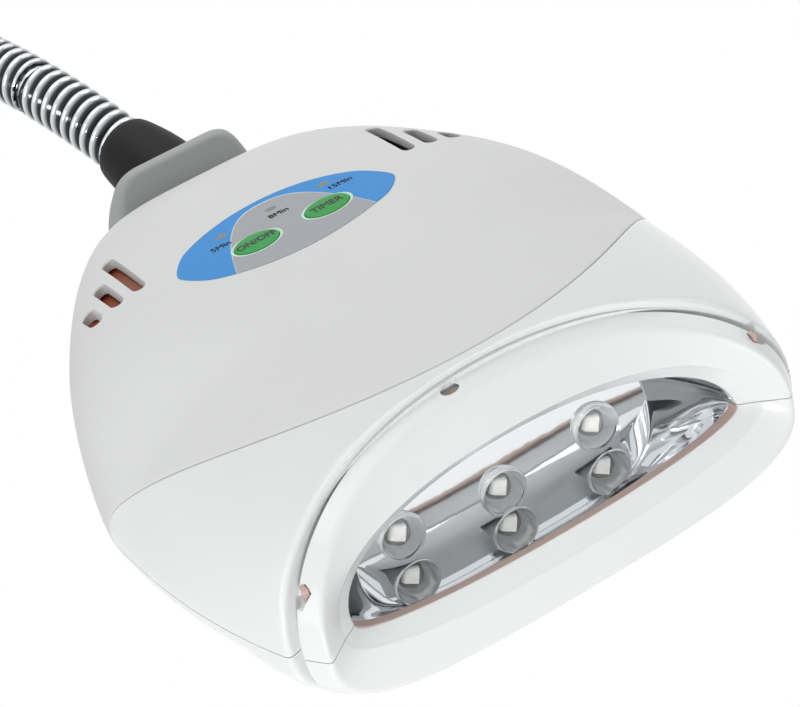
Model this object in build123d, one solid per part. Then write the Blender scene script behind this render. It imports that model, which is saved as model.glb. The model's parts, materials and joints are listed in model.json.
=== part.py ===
from build123d import *
import math
import os

os.makedirs("parts", exist_ok=True)

# A teeth whitening lamp, in millimetres: a hollow moulded lamp head on a ribbed, bendable arm.
# The head is drawn from the parting plane of its shells: x to the right seen from the front,
# y back from the corners of the window lip, z up. Everything moves to the stand spigot at the end.

# Body of the head
body_length = 192.0
body_half_width = 79.5
widest_place = 78.0
body_swell = 11.0
front_edge_half_width = body_half_width - body_swell
front_plan_power = 2.2
rear_plan_overshoot = 15.9
rear_plan_end = body_length + rear_plan_overshoot
rear_plan_power = 1.47
rear_plan_root = 0.716
crown_height = 36.9
crown_slope_share = 0.03
crown_fall_length = 75.7
crown_fall_overshoot = 13.7
crown_fall_end = body_length + crown_fall_overshoot
crown_fall_start = crown_fall_end - crown_fall_length
fall_power = 3.37
fall_root = 1.25
belly_depth = 28.5
belly_swell = 7.0
belly_front_depth = belly_depth - belly_swell
belly_full_place = 30.0
belly_fall_length = 88.0
belly_fall_overshoot = 16.0
belly_fall_end = body_length + belly_fall_overshoot
belly_fall_start = belly_fall_end - belly_fall_length
crown_front_power = 2.05
crown_rear_power = 3.9
crown_change_start = 70.0
crown_change_length = 57.0
belly_front_power = 2.9
belly_power = 1.95
wall = 2.4
overrun = 1.0
fit_tolerance = 0.0001
outline_points = 15
long_shares = (0.0, 0.1, 0.22, 0.38, 0.52, 0.64, 0.74, 0.83, 0.91, 0.96, 1.0)
short_shares = (0.0, 0.15, 0.35, 0.6, 0.8, 1.0)
settling_steps = 14

# Front edge of the body, the groove and the window lip
edge_setback = 8.7
edge_thickness = 2.0
edge_curl = 0.012
lip_power = 2.41
lip_curl = 0.0241
lip_low_power = 3.2
rim_side_step = 2.0
rim_top_step = 3.7
rim_low_step = 0.5
rim_half_width = front_edge_half_width - rim_side_step
rim_top = crown_height - rim_top_step
rim_depth = belly_front_depth - rim_low_step
rim_setback = 6.3
rim_curl = 0.0186
rim_power = 2.21
lip_side_round = 4.1
lip_top_round = 3.6
lip_low_round = 2.0
lip_half_width = rim_half_width - lip_side_round
lip_top = rim_top - lip_top_round
lip_depth = rim_depth - lip_low_round
groove_depth = 3.0
groove_width = 4.0
web_thickness = 2.3
window_side_frame = 10.1
window_top_frame = 13.0
window_low_frame = 14.6
window_half_width = lip_half_width - window_side_frame
window_top = lip_top - window_top_frame
window_depth = lip_depth - window_low_frame
window_setback = 7.8
window_lean = 0.68
window_power = 2.1
sill_drop = 4.9
sill_depth = window_depth + sill_drop
sill_lean = -0.17
lip_wall = 2.6
web_setback = 2.8
hood_hole_radius = 2.3
hood_hole_depth = 4.0
hood_hole_x = -8.5
hood_hole_setback = 15.3
hood_hole_y = edge_setback + hood_hole_setback
hood_hole_share = 0.5

# Seam between the rear cover and the front shell
seam_setback = 18.8
seam_apex = edge_setback + seam_setback
seam_curl = 0.00845
seam_gap = 0.4

# Place of the label on the cover
label_half_width = 30.4
label_rear_margin = 57.4
label_breadth = 32.6
label_top_place = body_length - label_rear_margin
label_low_place = label_top_place - label_breadth

# Cooling slots in the cover, each side
slot_width = 3.7
slot_pitch = 6.6
slot_side_margin = 9.5
slot_first_x = label_half_width + slot_side_margin
slot_front_margin = 65.0
slot_front = body_length - slot_front_margin
slot_lengths = (20.5, 12.0, 6.0)

# Reflector and its light cups
reflector_setback = 0.4
reflector_rim_slope = 0.4
reflector_rim_margin = 0.2
reflector_wall = 1.2
reflector_reach = 22.2
reflector_side_draw = 11.3
reflector_top_draw = 12.4
reflector_low_gap = 5.1
reflector_plate_place = window_setback + reflector_reach
reflector_half_width = window_half_width - reflector_side_draw
reflector_top = window_top - reflector_top_draw
reflector_depth = belly_depth - reflector_low_gap
reflector_power = 4.0
cup_mouth_radius = 5.7
cup_neck_radius = 3.9
cup_length = 5.0
cup_wall = 0.7
cup_side_margin = 13.8
cup_top_margin = 7.8
cup_middle_drop = 2.8
cup_row_pitch = 12.8
cup_low_middle_drop = 1.0
cup_outer_x = reflector_half_width - cup_side_margin
cup_upper_z = reflector_top - cup_top_margin
cup_upper_middle_z = cup_upper_z - cup_middle_drop
cup_lower_z = cup_upper_z - cup_row_pitch
cup_lower_middle_z = cup_lower_z - cup_low_middle_drop
lamp_post_radius = 2.4
lamp_screw_share = 10 / 17
lamp_screw_drop = 6.9
lamp_screw_x = cup_outer_x * lamp_screw_share
lamp_screw_z = cup_upper_z - lamp_screw_drop

# Light diodes, their board and the heat sink
board_gap = 0.3
board_thickness = 1.6
board_side_margin = 5.0
board_top_margin = 0.6
board_half_width = reflector_half_width - board_side_margin
board_top = reflector_top - board_top_margin
board_depth = reflector_depth
board_power = 6.0
emitter_side = 6.4
emitter_thickness = 0.9
chip_side = 2.3
chip_thickness = 0.4
lens_radius = 3.1
lens_skirt = 1.0
sink_base = 2.5
sink_side_margin = 7.0
sink_top_margin = 1.6
sink_low_margin = 5.9
sink_half_width = board_half_width - sink_side_margin
sink_top = board_top - sink_top_margin
sink_depth = board_depth - sink_low_margin
fin_length = 13.0
fin_thickness = 1.2
fin_pitch = 6.4
fin_side_margin = 1.0
fin_pairs = int((sink_half_width - fin_side_margin) / fin_pitch)
cradle_inset = 9.0
cradle_x = sink_half_width - cradle_inset
cradle_thickness = 2.0
cradle_length = 14.0
cradle_gap = 0.25

# Bosses and shell screws
boss_radius = 3.6
low_boss_radius = 4.6
thread_fit = 0.05
screw_radius = 1.5
screw_hole_radius = 1.75
screw_head_radius = 2.8
screw_head_height = 2.0
counterbore_radius = 3.1
screw_seat_depth = 6.0
screw_reach = 8.0
boss_gap = 0.2
front_boss_inset = 13.5
front_boss_setback = 25.3
side_boss_inset = 17.5
side_boss_setback = 14.0
rear_boss_inset = 46.5
rear_boss_margin = 32.0
front_boss_x = front_edge_half_width - front_boss_inset
front_boss_y = edge_setback + front_boss_setback
side_boss_x = body_half_width - side_boss_inset
side_boss_y = widest_place + side_boss_setback
rear_boss_x = body_half_width - rear_boss_inset
rear_boss_y = body_length - rear_boss_margin

# Control board under the label
control_board_side_margin = 3.4
control_board_front_overhang = 1.0
control_board_length = 32.0
control_board_drop = 14.9
control_board_half_width = label_half_width - control_board_side_margin
control_board_front = label_low_place - control_board_front_overhang
control_board_rear = control_board_front + control_board_length
control_board_under = crown_height - control_board_drop
post_radius = 2.6
post_inset = 3.2
small_screw_radius = 1.2
small_head_radius = 2.1
small_head_height = 1.5
small_screw_reach = 5.0
driver_board_inset = 41.0
driver_board_x = driver_board_inset - body_half_width
driver_board_half_width = 10.0
driver_board_length = 44.0
driver_board_margin = 44.0
driver_board_rear = body_length - driver_board_margin
driver_board_front = driver_board_rear - driver_board_length
driver_board_drop = 24.9
driver_board_under = crown_height - driver_board_drop
coil_radius = 5.0
coil_height = 7.0
coil_spread = 12.0

# Label, buttons, indicator lights and buzzer
label_margin = 0.2
label_zone_margin = 8.0
label_bed = 0.1
label_top_radius = 37.0
label_low_radius = 64.0
label_end_bulge = 1.6
label_thickness = 0.35
label_proud = 0.15
button_x = 10.3
button_setback = 19.2
button_y = label_top_place - button_setback
button_half_length = 6.2
button_half_width = 4.2
button_gap = 0.3
button_travel = 0.5
button_proud = 0.5
button_flange = 1.0
button_flange_thickness = 1.0
button_flange_gap = 0.4
button_stem_radius = 1.6
board_thickness_small = 1.6
switch_side = 6.0
switch_height = 3.6
switch_stem_radius = 1.5
switch_stem_height = 1.2
switch_clearance = 0.15
light_side_x = 15.0
light_side_setback = 8.3
light_middle_setback = 7.3
light_side_y = label_top_place - light_side_setback
light_middle_y = label_top_place - light_middle_setback
light_half_length = 1.8
light_half_width = 1.2
light_clearance = 0.2
light_base_radius = 2.1
light_base_height = 2.4
buzzer_radius = 4.5
buzzer_height = 4.6
buzzer_hole_radius = 1.0
buzzer_setback = 27.8
buzzer_y = label_top_place - buzzer_setback

# Neck block behind the head
block_half_width = 22.0
block_top_half_width = 18.6
block_top_drop = 8.7
block_top = crown_height - block_top_drop
block_corner = 5.0
block_sink = 3.0
block_front = body_length - block_sink
block_depth = 8.0
block_face_y = body_length + block_depth
block_face_drop = 15.8
block_face_z = block_top - block_face_drop
block_face_lean = 26.0
block_under = -10.0
block_fit = 0.25
neck_tube_radius = 5.2
neck_tube_bore = 3.4
neck_tube_inside = 6.0
neck_tube_reach = 9.0
neck_tube_fit = 0.05
neck_pin_radius = 1.5
neck_pin_half_length = 13.0
neck_pin_depth = 3.6
neck_screw_x = 12.5
neck_screw_z = 4.0
neck_screw_reach = 7.0
neck_wire_radius = 2.2
neck_wire_reach = 9.0
neck_rise = 22.0
neck_drift = 14.0

# Black boot over the start of the arm
boot_length = 21.0
boot_root_depth = 4.5
boot_root_radius = 12.4
boot_shoulder_radius = 11.7
boot_end_radius = 8.2
boot_shoulder_share = 0.45
boot_waist_share = 0.8
boot_waist_radius = 9.6

# Ribbed arm
arm_radius = 8.5
arm_groove_radius = 7.3
arm_bore_radius = 5.8
rib_count = 9
rib_pitch = 4.1
arm_shoulder_radius = 8.25
rib_place_shares = (0.0, 0.22, 0.5, 0.78)
rib_radii = (arm_groove_radius, arm_shoulder_radius, arm_radius, arm_shoulder_radius)
upper_bend_radius = 230.0
upper_segments = 2
lower_segments = 5
joint_gap = 1.4
nose_radius = 5.3
nose_bore_radius = 3.4
plug_length = 3.0
bore_steps = 4
base_turn = 90.0
ring_turn = 360.0

# Lower ferrule, lock nut and stand spigot
ferrule_radius = 11.0
ferrule_height = 24.0
ferrule_socket = 5.0
ferrule_socket_gap = 0.15
ferrule_edge = 1.5
ferrule_groove_width = 2.0
ferrule_groove_depth = 0.8
lock_nut_width = 24.0
lock_nut_height = 7.0
nut_sides = 6
spigot_shoulder_radius = 13.0
spigot_shoulder_height = 4.0
spigot_shoulder_chamfer = 0.6
spigot_radius = 8.0
spigot_length = 32.0
spigot_chamfer = 1.2
spigot_stud_radius = 5.0
spigot_stud_reach = 12.0
stud_gap = 0.1
wire_bore_radius = 3.0
spigot_groove_place = 22.0
spigot_groove_width = 5.0
spigot_groove_depth = 1.0


def smooth_step(value):
    """Rise from 0 to 1 with level ends."""
    value = min(max(value, 0), 1)
    return value * value * (3 - 2 * value)


def half_width(y):
    """Half the body's width at the parting plane."""
    if y < widest_place:
        short = (widest_place - y) / (widest_place - edge_setback)
        swell = body_half_width - front_edge_half_width
        return front_edge_half_width + swell * (1 - short ** front_plan_power)
    along = (y - widest_place) / (rear_plan_end - widest_place)
    return body_half_width * (1 - along ** rear_plan_power) ** rear_plan_root


def fall(y, start, end):
    """Share of the height that is left where the body drops to its rear."""
    along = max(y - start, 0) / (end - start)
    return (1 - along ** fall_power) ** fall_root


def crown(y):
    """Height of the body's middle above the parting plane."""
    return (crown_height - crown_slope_share * (y - edge_setback)) * fall(y, crown_fall_start, crown_fall_end)


def belly(y):
    """Depth of the body's middle below the parting plane."""
    full = smooth_step((y - edge_setback) / (belly_full_place - edge_setback))
    depth = belly_front_depth + (belly_depth - belly_front_depth) * full
    return depth * fall(y, belly_fall_start, belly_fall_end)


def crown_power(y):
    """Squareness of the upper section: round in front, square behind the label."""
    change = smooth_step((y - crown_change_start) / crown_change_length)
    return crown_front_power + (crown_rear_power - crown_front_power) * change


def belly_section_power(y):
    """Squareness of the lower section."""
    change = smooth_step((y - edge_setback) / (belly_full_place - edge_setback))
    return belly_front_power + (belly_power - belly_front_power) * change


class Outline:
    """A D-shaped outline seen from the front, whose points lean back with their height."""

    def __init__(self, width, top, depth, setback, top_power, low_power, lean=0, low_lean=None, curl=0):
        self.width = width
        self.reach = {1: top, -1: depth}
        self.power = {1: top_power, -1: low_power}
        self.lean = {1: lean, -1: lean if low_lean is None else low_lean}
        self.curl = {1: curl, -1: 0}
        self.setback = setback

    def point(self, angle, side):
        """Point at an angle from the right-hand end of the upper (1) or lower (-1) half."""
        across, up = math.cos(angle), abs(math.sin(angle))
        power = self.power[side]
        radius = (abs(across) ** power + up ** power) ** (-1 / power)
        z = side * self.reach[side] * radius * up
        y = self.setback + self.lean[side] * z + self.curl[side] * z * z
        return (self.width * radius * across, y, z)

    def half(self, side):
        """One smooth edge from the right-hand end to the left-hand end."""
        return arch([self.point(angle, side) for angle in arch_angles()], side, self.lean[side])


def arch_angles():
    """Angles of an arch's points, from the right-hand end to the left-hand end."""
    return [math.pi * step / (outline_points - 1) for step in range(outline_points)]


def arch(points, side, lean=0):
    """Smooth edge through an arch's points, upright where it meets the parting plane."""
    first, *middle, last = points
    points = [(first[0], first[1], 0)] + middle + [(last[0], last[1], 0)]
    shares = [angle / math.pi for angle in arch_angles()]
    ends = [(0, side * lean, side), (0, -side * lean, -side)]
    return Edge.make_spline(points, tangents=ends, parameters=shares)


def body_outline(y, inset=0):
    """The body's section at one place, drawn in from its surface."""
    return Outline(half_width(y) - inset, crown(y) - inset, belly(y) - inset, y,
                   crown_power(y), belly_section_power(y))


def skin_point(angle, side, inset, place):
    """Point of the body's skin whose setback follows place(x, z)."""
    y = widest_place
    for _ in range(settling_steps):
        x, _, z = body_outline(y, inset).point(angle, side)
        y = place(x, z)
    return (x, y, z)


def skin_edge(side, inset, place):
    """Edge across the body's skin."""
    return arch([skin_point(angle, side, inset, place) for angle in arch_angles()], side)


def skin_face(side, inset, first, last, shares):
    """Smooth skin between two places, each a function of x and z."""
    wires = []
    for share in shares:
        edge = skin_edge(side, inset, lambda x, z: first(x, z) * (1 - share) + last(x, z) * share)
        wires.append(Wire([edge]))
    return Shell.make_loft(wires).faces()[0]


def flat_at(y):
    """A place that is the same everywhere."""
    return lambda x, z: y


def front_edge_place(x, z):
    """Where the body's skin ends in front: curled back towards its top."""
    return edge_setback + (edge_curl * z * z if z > 0 else 0)


def inner_edge_place(x, z):
    """Where the skin's inner side begins."""
    return front_edge_place(x, z) + edge_thickness


def seam_place(x, z):
    """Where the rear cover begins."""
    return seam_apex + seam_curl * x * x


def shell_seam_place(x, z):
    """Where the front shell ends, a gap before the cover."""
    return seam_place(x, z) - seam_gap


def strip(one, two):
    """Ruled face between two edges."""
    return Face.make_surface_from_curves(one, two)


def sewn(faces):
    """Solid inside faces that share their edges."""
    solid = Solid(Shell(faces))
    return solid if solid.volume > 0 else -solid


def edge_ends(edge):
    """The right-hand and left-hand ends of an arch."""
    return sorted([vertex.center() for vertex in edge.vertices()], key=lambda point: -point.X)


def side_edges(face):
    """The two edges of a skin that lie in the parting plane, right-hand one first."""
    flat = [edge for edge in face.edges() if abs(edge.bounding_box().size.Z) < fit_tolerance]
    return sorted(flat, key=lambda edge: -edge.center().X)


def line_between(one, two):
    """Straight edge between two points."""
    return Edge.make_line(one, two)


def closed_ring(outlines):
    """Solid with ruled faces all the way round, for a piece that isn't split at the parting plane."""
    faces = []
    for side in (1, -1):
        edges = [outline.half(side) for outline in outlines]
        faces += [strip(one, two) for one, two in zip(edges, edges[1:] + edges[:1])]
    return sewn(faces)


def outline_face(outline):
    """Flat face inside an upright outline."""
    return Face(Wire([outline.half(1), outline.half(-1)]))


def outline_plate(outline, thickness):
    """Upright plate with an outline, from its front face backwards."""
    return Solid.extrude(outline_face(outline), Vector(0, thickness, 0))


def cylinder_between(radius, start, end):
    """Cylinder between two points."""
    axis = Vector(*end) - Vector(*start)
    return Solid.make_cylinder(radius, axis.length, Plane(origin=start, z_dir=axis))


def upright(radius, x, y, low, high):
    """Upright cylinder."""
    return cylinder_between(radius, (x, y, low), (x, y, high))


def backward(radius, x, z, front, rear):
    """Cylinder along y."""
    return cylinder_between(radius, (x, front, z), (x, rear, z))


def box_between(low, high):
    """Box between two corners."""
    size = [two - one for one, two in zip(low, high)]
    return Solid.make_box(*size, Plane(origin=low))


def fused(solids):
    """Fuse a list of solids."""
    first, *rest = solids
    return first.fuse(*rest) if rest else first


# Window lip and groove, from the window's edge round the lip to the inside
lip_front = Outline(lip_half_width, lip_top, lip_depth, 0, lip_power, lip_low_power, curl=lip_curl)
lip_rim = Outline(rim_half_width, rim_top, rim_depth, rim_setback, rim_power, lip_low_power, curl=rim_curl)
groove_front = Outline(rim_half_width - groove_depth, rim_top - groove_depth, rim_depth - groove_depth,
                       rim_setback, rim_power, lip_low_power, curl=rim_curl)
groove_rear = Outline(rim_half_width - groove_depth, rim_top - groove_depth, rim_depth - groove_depth,
                      rim_setback + groove_width, rim_power, lip_low_power, curl=rim_curl)
web_inset = groove_depth + web_thickness
web_rear = Outline(rim_half_width - web_inset, rim_top - web_inset, rim_depth - web_inset,
                   rim_setback + groove_width + web_setback, rim_power, lip_low_power, curl=rim_curl)
sill_rear = Outline(window_half_width, window_top, sill_depth, window_setback + lip_wall, window_power,
                    window_power, lean=window_lean, low_lean=sill_lean)
window_edge = Outline(window_half_width, window_top, window_depth, window_setback, window_power, window_power,
                      lean=window_lean)
lip_outlines = [groove_rear, groove_front, lip_rim, lip_front, window_edge, sill_rear, web_rear]


def lipped_shell(side, end_place, inner_end_place, shares, closed):
    """Half of the housing in one moulding: window lip, groove, skin and, where closed, a rear wall."""
    outer = skin_face(side, 0, front_edge_place, end_place, shares)
    inner = skin_face(side, wall, inner_edge_place, inner_end_place, shares)
    outer_front = skin_edge(side, 0, front_edge_place)
    inner_front = skin_edge(side, wall, inner_edge_place)
    outer_rear = skin_edge(side, 0, end_place)
    inner_rear = skin_edge(side, wall, inner_end_place)
    front = [outer_front] + [outline.half(side) for outline in lip_outlines] + [inner_front]
    faces = [outer, inner] + [strip(one, two) for one, two in zip(front, front[1:])]
    outer_sides, inner_sides = side_edges(outer), side_edges(inner)
    corners = [edge_ends(edge) for edge in front]
    borders = []
    for hand in (0, 1):
        chain = [line_between(one[hand], two[hand]) for one, two in zip(corners, corners[1:])]
        borders.append([outer_sides[hand]] + chain + [inner_sides[hand]])
    outer_ends, inner_ends = edge_ends(outer_rear), edge_ends(inner_rear)
    if closed:
        outer_line, inner_line = line_between(*outer_ends), line_between(*inner_ends)
        faces.append(Face(Wire([outer_rear, outer_line])))
        faces.append(Face(Wire([inner_rear, inner_line])))
        faces.append(Face(Wire(borders[0] + borders[1] + [outer_line, inner_line])))
    else:
        faces.append(strip(outer_rear, inner_rear))
        for hand in (0, 1):
            faces.append(Face(Wire(borders[hand] + [line_between(outer_ends[hand], inner_ends[hand])])))
    return sewn(faces)


def cover_shell():
    """Rear cover: an upper skin from the seam to its rear wall."""
    outer = skin_face(1, 0, seam_place, flat_at(body_length), long_shares)
    inner = skin_face(1, wall, seam_place, flat_at(body_length - wall), long_shares)
    edges = [skin_edge(1, 0, seam_place), skin_edge(1, wall, seam_place)]
    rears = [skin_edge(1, 0, flat_at(body_length)), skin_edge(1, wall, flat_at(body_length - wall))]
    lines = [line_between(*edge_ends(rear)) for rear in rears]
    ends = [edge_ends(edge) for edge in edges]
    border = side_edges(outer) + side_edges(inner) + lines
    border += [line_between(ends[0][hand], ends[1][hand]) for hand in (0, 1)]
    faces = [outer, inner, strip(*edges), Face(Wire(border))]
    faces += [Face(Wire([rear, line])) for rear, line in zip(rears, lines)]
    return sewn(faces)


def body_solid(side, inset, first, last):
    """Solid half of the body's form, without lip or front curl."""
    sections = []
    for share in long_shares:
        edge = skin_edge(side, inset, flat_at(first + (last - first) * share))
        sections.append(Wire([edge, line_between(*edge_ends(edge))]))
    return Solid.make_loft(sections)


# Solids that trim what joins the skins inside, at the middle of their walls
trim_upper = body_solid(1, wall / 2, edge_setback, body_length - wall / 2)
trim_lower = body_solid(-1, wall / 2, edge_setback, body_length - wall / 2)
above = crown_height + overrun
below = -belly_depth - overrun
mirror = (1, -1)


def oval_face(half_length, half_breadth, x, y, z):
    """Flat oval lying level."""
    return Face(Wire([Edge.make_ellipse(half_length, half_breadth, Plane((x, y, z)))]))


def oval_prism(half_length, half_breadth, x, y, low, high):
    """Upright oval prism."""
    return Solid.extrude(oval_face(half_length, half_breadth, x, y, low), Vector(0, 0, high - low))


# Shell screws: bosses hang from the upper shells over bosses that stand on the bottom shell
front_places = [(side * front_boss_x, front_boss_y) for side in mirror]
cover_boss_sizes = ((side_boss_x, side_boss_y), (rear_boss_x, rear_boss_y))
cover_places = [(side * x, y) for x, y in cover_boss_sizes for side in mirror]


def upper_boss(x, y):
    """Boss under the upper skin."""
    return upright(boss_radius, x, y, boss_gap, above) & trim_upper


def boss_pilot(x, y):
    """Hole that a shell screw bites into."""
    return upright(screw_radius + thread_fit, x, y, -overrun, screw_reach + overrun)


def lower_boss(x, y):
    """Boss on the bottom shell."""
    return upright(low_boss_radius, x, y, below, -boss_gap) & trim_lower


def lower_boss_holes(x, y):
    """Counterbore and clearance hole through a lower boss."""
    counterbore = upright(counterbore_radius, x, y, below, -screw_seat_depth)
    return [counterbore, upright(screw_hole_radius, x, y, -screw_seat_depth - overrun, overrun)]


def screw(radius, head_radius, head_height, start, end):
    """Round-headed screw whose shank runs from its seat to its tip."""
    axis = (Vector(*end) - Vector(*start)).normalized()
    head_start = Vector(*start) - axis * head_height
    return cylinder_between(head_radius, head_start, start).fuse(cylinder_between(radius, start, end))


shell_screws = [screw(screw_radius, screw_head_radius, screw_head_height,
                      (x, y, -screw_seat_depth), (x, y, screw_reach)) for x, y in front_places + cover_places]

# Window reflector: a dish behind the window with six tapered cups
cup_places = [(side * cup_outer_x, z) for z in (cup_upper_z, cup_lower_z) for side in mirror]
cup_places += [(0, cup_upper_middle_z), (0, cup_lower_middle_z)]
cup_places.sort(key=lambda place: (-round(place[1] / cup_mouth_radius), place[0]))
reflector_back = reflector_plate_place + reflector_wall
cup_end = reflector_back + cup_length
board_front = cup_end + emitter_thickness + board_gap
board_rear = board_front + board_thickness
sink_rear = board_rear + sink_base
lamp_posts = [(side * lamp_screw_x, lamp_screw_z) for side in mirror]


def dish_front(margin, setback):
    """Front outline of the reflector, behind the window's sill."""
    return Outline(window_half_width + margin, window_top + margin, sill_depth + margin,
                   window_setback + lip_wall + setback, window_power, window_power,
                   lean=window_lean, low_lean=sill_lean)


def dish_back(margin):
    """Rear outline of the reflector, where its plate begins."""
    return Outline(reflector_half_width + margin, reflector_top + margin, reflector_depth + margin,
                   reflector_plate_place, reflector_power, reflector_power)


def cup(x, z, margin, reach):
    """Tapered plug of a light cup."""
    return Solid.make_cone(cup_mouth_radius + margin, cup_neck_radius + margin, reach,
                           Plane(origin=(x, reflector_plate_place, z), z_dir=(0, 1, 0)))


rim_outer = dish_front(reflector_rim_margin + reflector_wall, reflector_setback + reflector_rim_slope)
rim_inner = dish_front(reflector_rim_margin, reflector_setback)
dish = closed_ring([rim_outer, dish_back(reflector_wall), dish_back(0), rim_inner])
plate = outline_plate(dish_back(reflector_wall), reflector_wall)
cup_reach = cup_end - reflector_plate_place
reflector = fused([dish, plate] + [cup(x, z, cup_wall, cup_reach) for x, z in cup_places]
                  + [backward(lamp_post_radius, x, z, reflector_plate_place + reflector_wall / 2, board_front)
                     for x, z in lamp_posts])
for x, z in cup_places:
    reflector -= cup(x, z, 0, cup_reach)
for x, z in lamp_posts:
    reflector -= backward(small_screw_radius + thread_fit, x, z, reflector_back, board_front + overrun)

# Board with six light diodes, and the finned heat sink behind it
board_outline = Outline(board_half_width, board_top, board_depth, board_front, board_power, board_power)
led_board = outline_plate(board_outline, board_thickness)
sink = [box_between((-sink_half_width, board_rear, -sink_depth), (sink_half_width, sink_rear, sink_top))]
for step in range(-fin_pairs, fin_pairs + 1):
    middle = step * fin_pitch
    sink.append(box_between((middle - fin_thickness / 2, sink_rear - sink_base / 2, -sink_depth),
                            (middle + fin_thickness / 2, sink_rear + fin_length, sink_top)))
heat_sink = fused(sink)
for x, z in lamp_posts:
    hole = backward(screw_radius, x, z, board_front - overrun, sink_rear + overrun)
    led_board -= hole
    heat_sink -= hole
lamp_screws = [screw(small_screw_radius, small_head_radius, small_head_height, (x, sink_rear, z),
                     (x, board_front - small_screw_reach, z)) for x, z in lamp_posts]


def emitter(x, z):
    """Square light diode with its chip, on the board's front face."""
    half, chip = emitter_side / 2, chip_side / 2
    front = board_front - emitter_thickness
    slug = box_between((x - half, front, z - half), (x + half, board_front, z + half))
    light = box_between((x - chip, front - chip_thickness, z - chip),
                        (x + chip, board_front - emitter_thickness / 2, z + chip))
    return slug.fuse(light)


def lens(x, z):
    """Clear dome over a light diode."""
    seat = board_front - emitter_thickness
    skirt = backward(lens_radius, x, z, seat - lens_skirt, seat)
    dome = Solid.make_sphere(lens_radius, Plane((x, seat - lens_skirt, z)), -base_turn, base_turn)
    room = box_between((x - lens_radius, seat - lens_skirt - lens_radius, z - lens_radius),
                       (x + lens_radius, seat, z + lens_radius))
    half = chip_side / 2 + thread_fit
    pocket = box_between((x - half, seat - chip_thickness - thread_fit, z - half),
                         (x + half, seat + overrun, z + half))
    return (skirt.fuse(dome) & room) - pocket


# Control board, its parts and the driver board, hung from the cover by posts
control_board_top = control_board_under + board_thickness_small
driver_board_top = driver_board_under + board_thickness_small
control_posts = [(side * (control_board_half_width - post_inset), y) for side in mirror
                 for y in (control_board_front + post_inset, control_board_rear - post_inset)]
driver_posts = [(driver_board_x + side * (driver_board_half_width - post_inset), y) for side in mirror
                for y in (driver_board_front + post_inset, driver_board_rear - post_inset)]


def circuit_board(left, right, front, rear, under, posts):
    """Board with a hole at each post."""
    board = box_between((left, front, under), (right, rear, under + board_thickness_small))
    for x, y in posts:
        board -= upright(screw_radius, x, y, under - overrun, under + board_thickness_small + overrun)
    return board


def post(x, y, low):
    """Post under the cover."""
    return upright(post_radius, x, y, low, above) & trim_upper


def post_pilot(x, y, low):
    """Hole in a post for a small screw."""
    return upright(small_screw_radius + thread_fit, x, y, low - overrun, low + small_screw_reach)


def post_screw(x, y, under):
    """Small screw up through a board into its post."""
    return screw(small_screw_radius, small_head_radius, small_head_height, (x, y, under),
                 (x, y, under + small_screw_reach))


control_board = circuit_board(-control_board_half_width, control_board_half_width, control_board_front,
                              control_board_rear, control_board_under, control_posts)
driver_board = circuit_board(driver_board_x - driver_board_half_width,
                             driver_board_x + driver_board_half_width,
                             driver_board_front, driver_board_rear, driver_board_under, driver_posts)
circuit_screws = [post_screw(x, y, control_board_under) for x, y in control_posts]
circuit_screws += [post_screw(x, y, driver_board_under) for x, y in driver_posts]
driver_middle = (driver_board_front + driver_board_rear) / 2
driver_coils = [upright(coil_radius, driver_board_x, driver_middle + side * coil_spread / 2,
                        driver_board_top, driver_board_top + coil_height) for side in mirror]
buzzer = upright(buzzer_radius, 0, buzzer_y, control_board_top, control_board_top + buzzer_height)
buzzer -= upright(buzzer_hole_radius, 0, buzzer_y, control_board_top + buzzer_height / 2, above)

# Keys: an oval cap in the cover over a small switch
key_top = crown(button_y) + label_proud + button_proud
flange_top = crown(button_y) - wall - button_flange_gap
flange_low = flange_top - button_flange_thickness
switch_top = control_board_top + switch_height + switch_stem_height
key_foot = switch_top + button_travel + switch_clearance


def key(x):
    """Oval key cap with its retaining flange and foot."""
    cap = oval_prism(button_half_length, button_half_width, x, button_y, flange_low, key_top)
    flange = oval_prism(button_half_length + button_flange, button_half_width + button_flange, x, button_y,
                        flange_low, flange_top)
    return fused([cap, flange, upright(button_stem_radius, x, button_y, key_foot, flange_top)])


def key_switch(x):
    """Small square push switch under a key."""
    half = switch_side / 2
    body = box_between((x - half, button_y - half, control_board_top),
                       (x + half, button_y + half, control_board_top + switch_height))
    stem = upright(switch_stem_radius, x, button_y, control_board_top + switch_height / 2, switch_top)
    return body.fuse(stem)


light_places = [(-light_side_x, light_side_y), (0, light_middle_y), (light_side_x, light_side_y)]


def indicator_light(x, y):
    """Small light whose oval window ends level with the label."""
    base = upright(light_base_radius, x, y, control_board_top, control_board_top + light_base_height)
    window_top_place = crown(y) + label_proud
    window = oval_prism(light_half_length, light_half_width, x, y, control_board_top + light_base_height / 2,
                        window_top_place)
    return base.fuse(window)


def label_prism(margin):
    """Upright prism of the label's lens shape."""
    side = label_half_width + margin
    rear, front = label_top_place + margin, label_low_place - margin
    rear_end = rear - label_top_radius + math.sqrt(label_top_radius ** 2 - side ** 2)
    front_end = front + label_low_radius - math.sqrt(label_low_radius ** 2 - side ** 2)
    bulge = side + label_end_bulge
    middle = (rear_end + front_end) / 2
    edges = [Edge.make_three_point_arc((-side, rear_end), (0, rear), (side, rear_end)),
             Edge.make_three_point_arc((side, rear_end), (bulge, middle), (side, front_end)),
             Edge.make_three_point_arc((side, front_end), (0, front), (-side, front_end)),
             Edge.make_three_point_arc((-side, front_end), (-bulge, middle), (-side, rear_end))]
    return Solid.extrude(Face(Wire(edges)), Vector(0, 0, above))


def panel_cuts(gap):
    """Holes for the keys and the indicator lights."""
    cuts = [oval_prism(button_half_length + gap, button_half_width + gap, side * button_x, button_y,
                       control_board_top, above) for side in mirror]
    cuts += [oval_prism(light_half_length + light_clearance, light_half_width + light_clearance, x, y,
                        control_board_top, above) for x, y in light_places]
    return cuts


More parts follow.
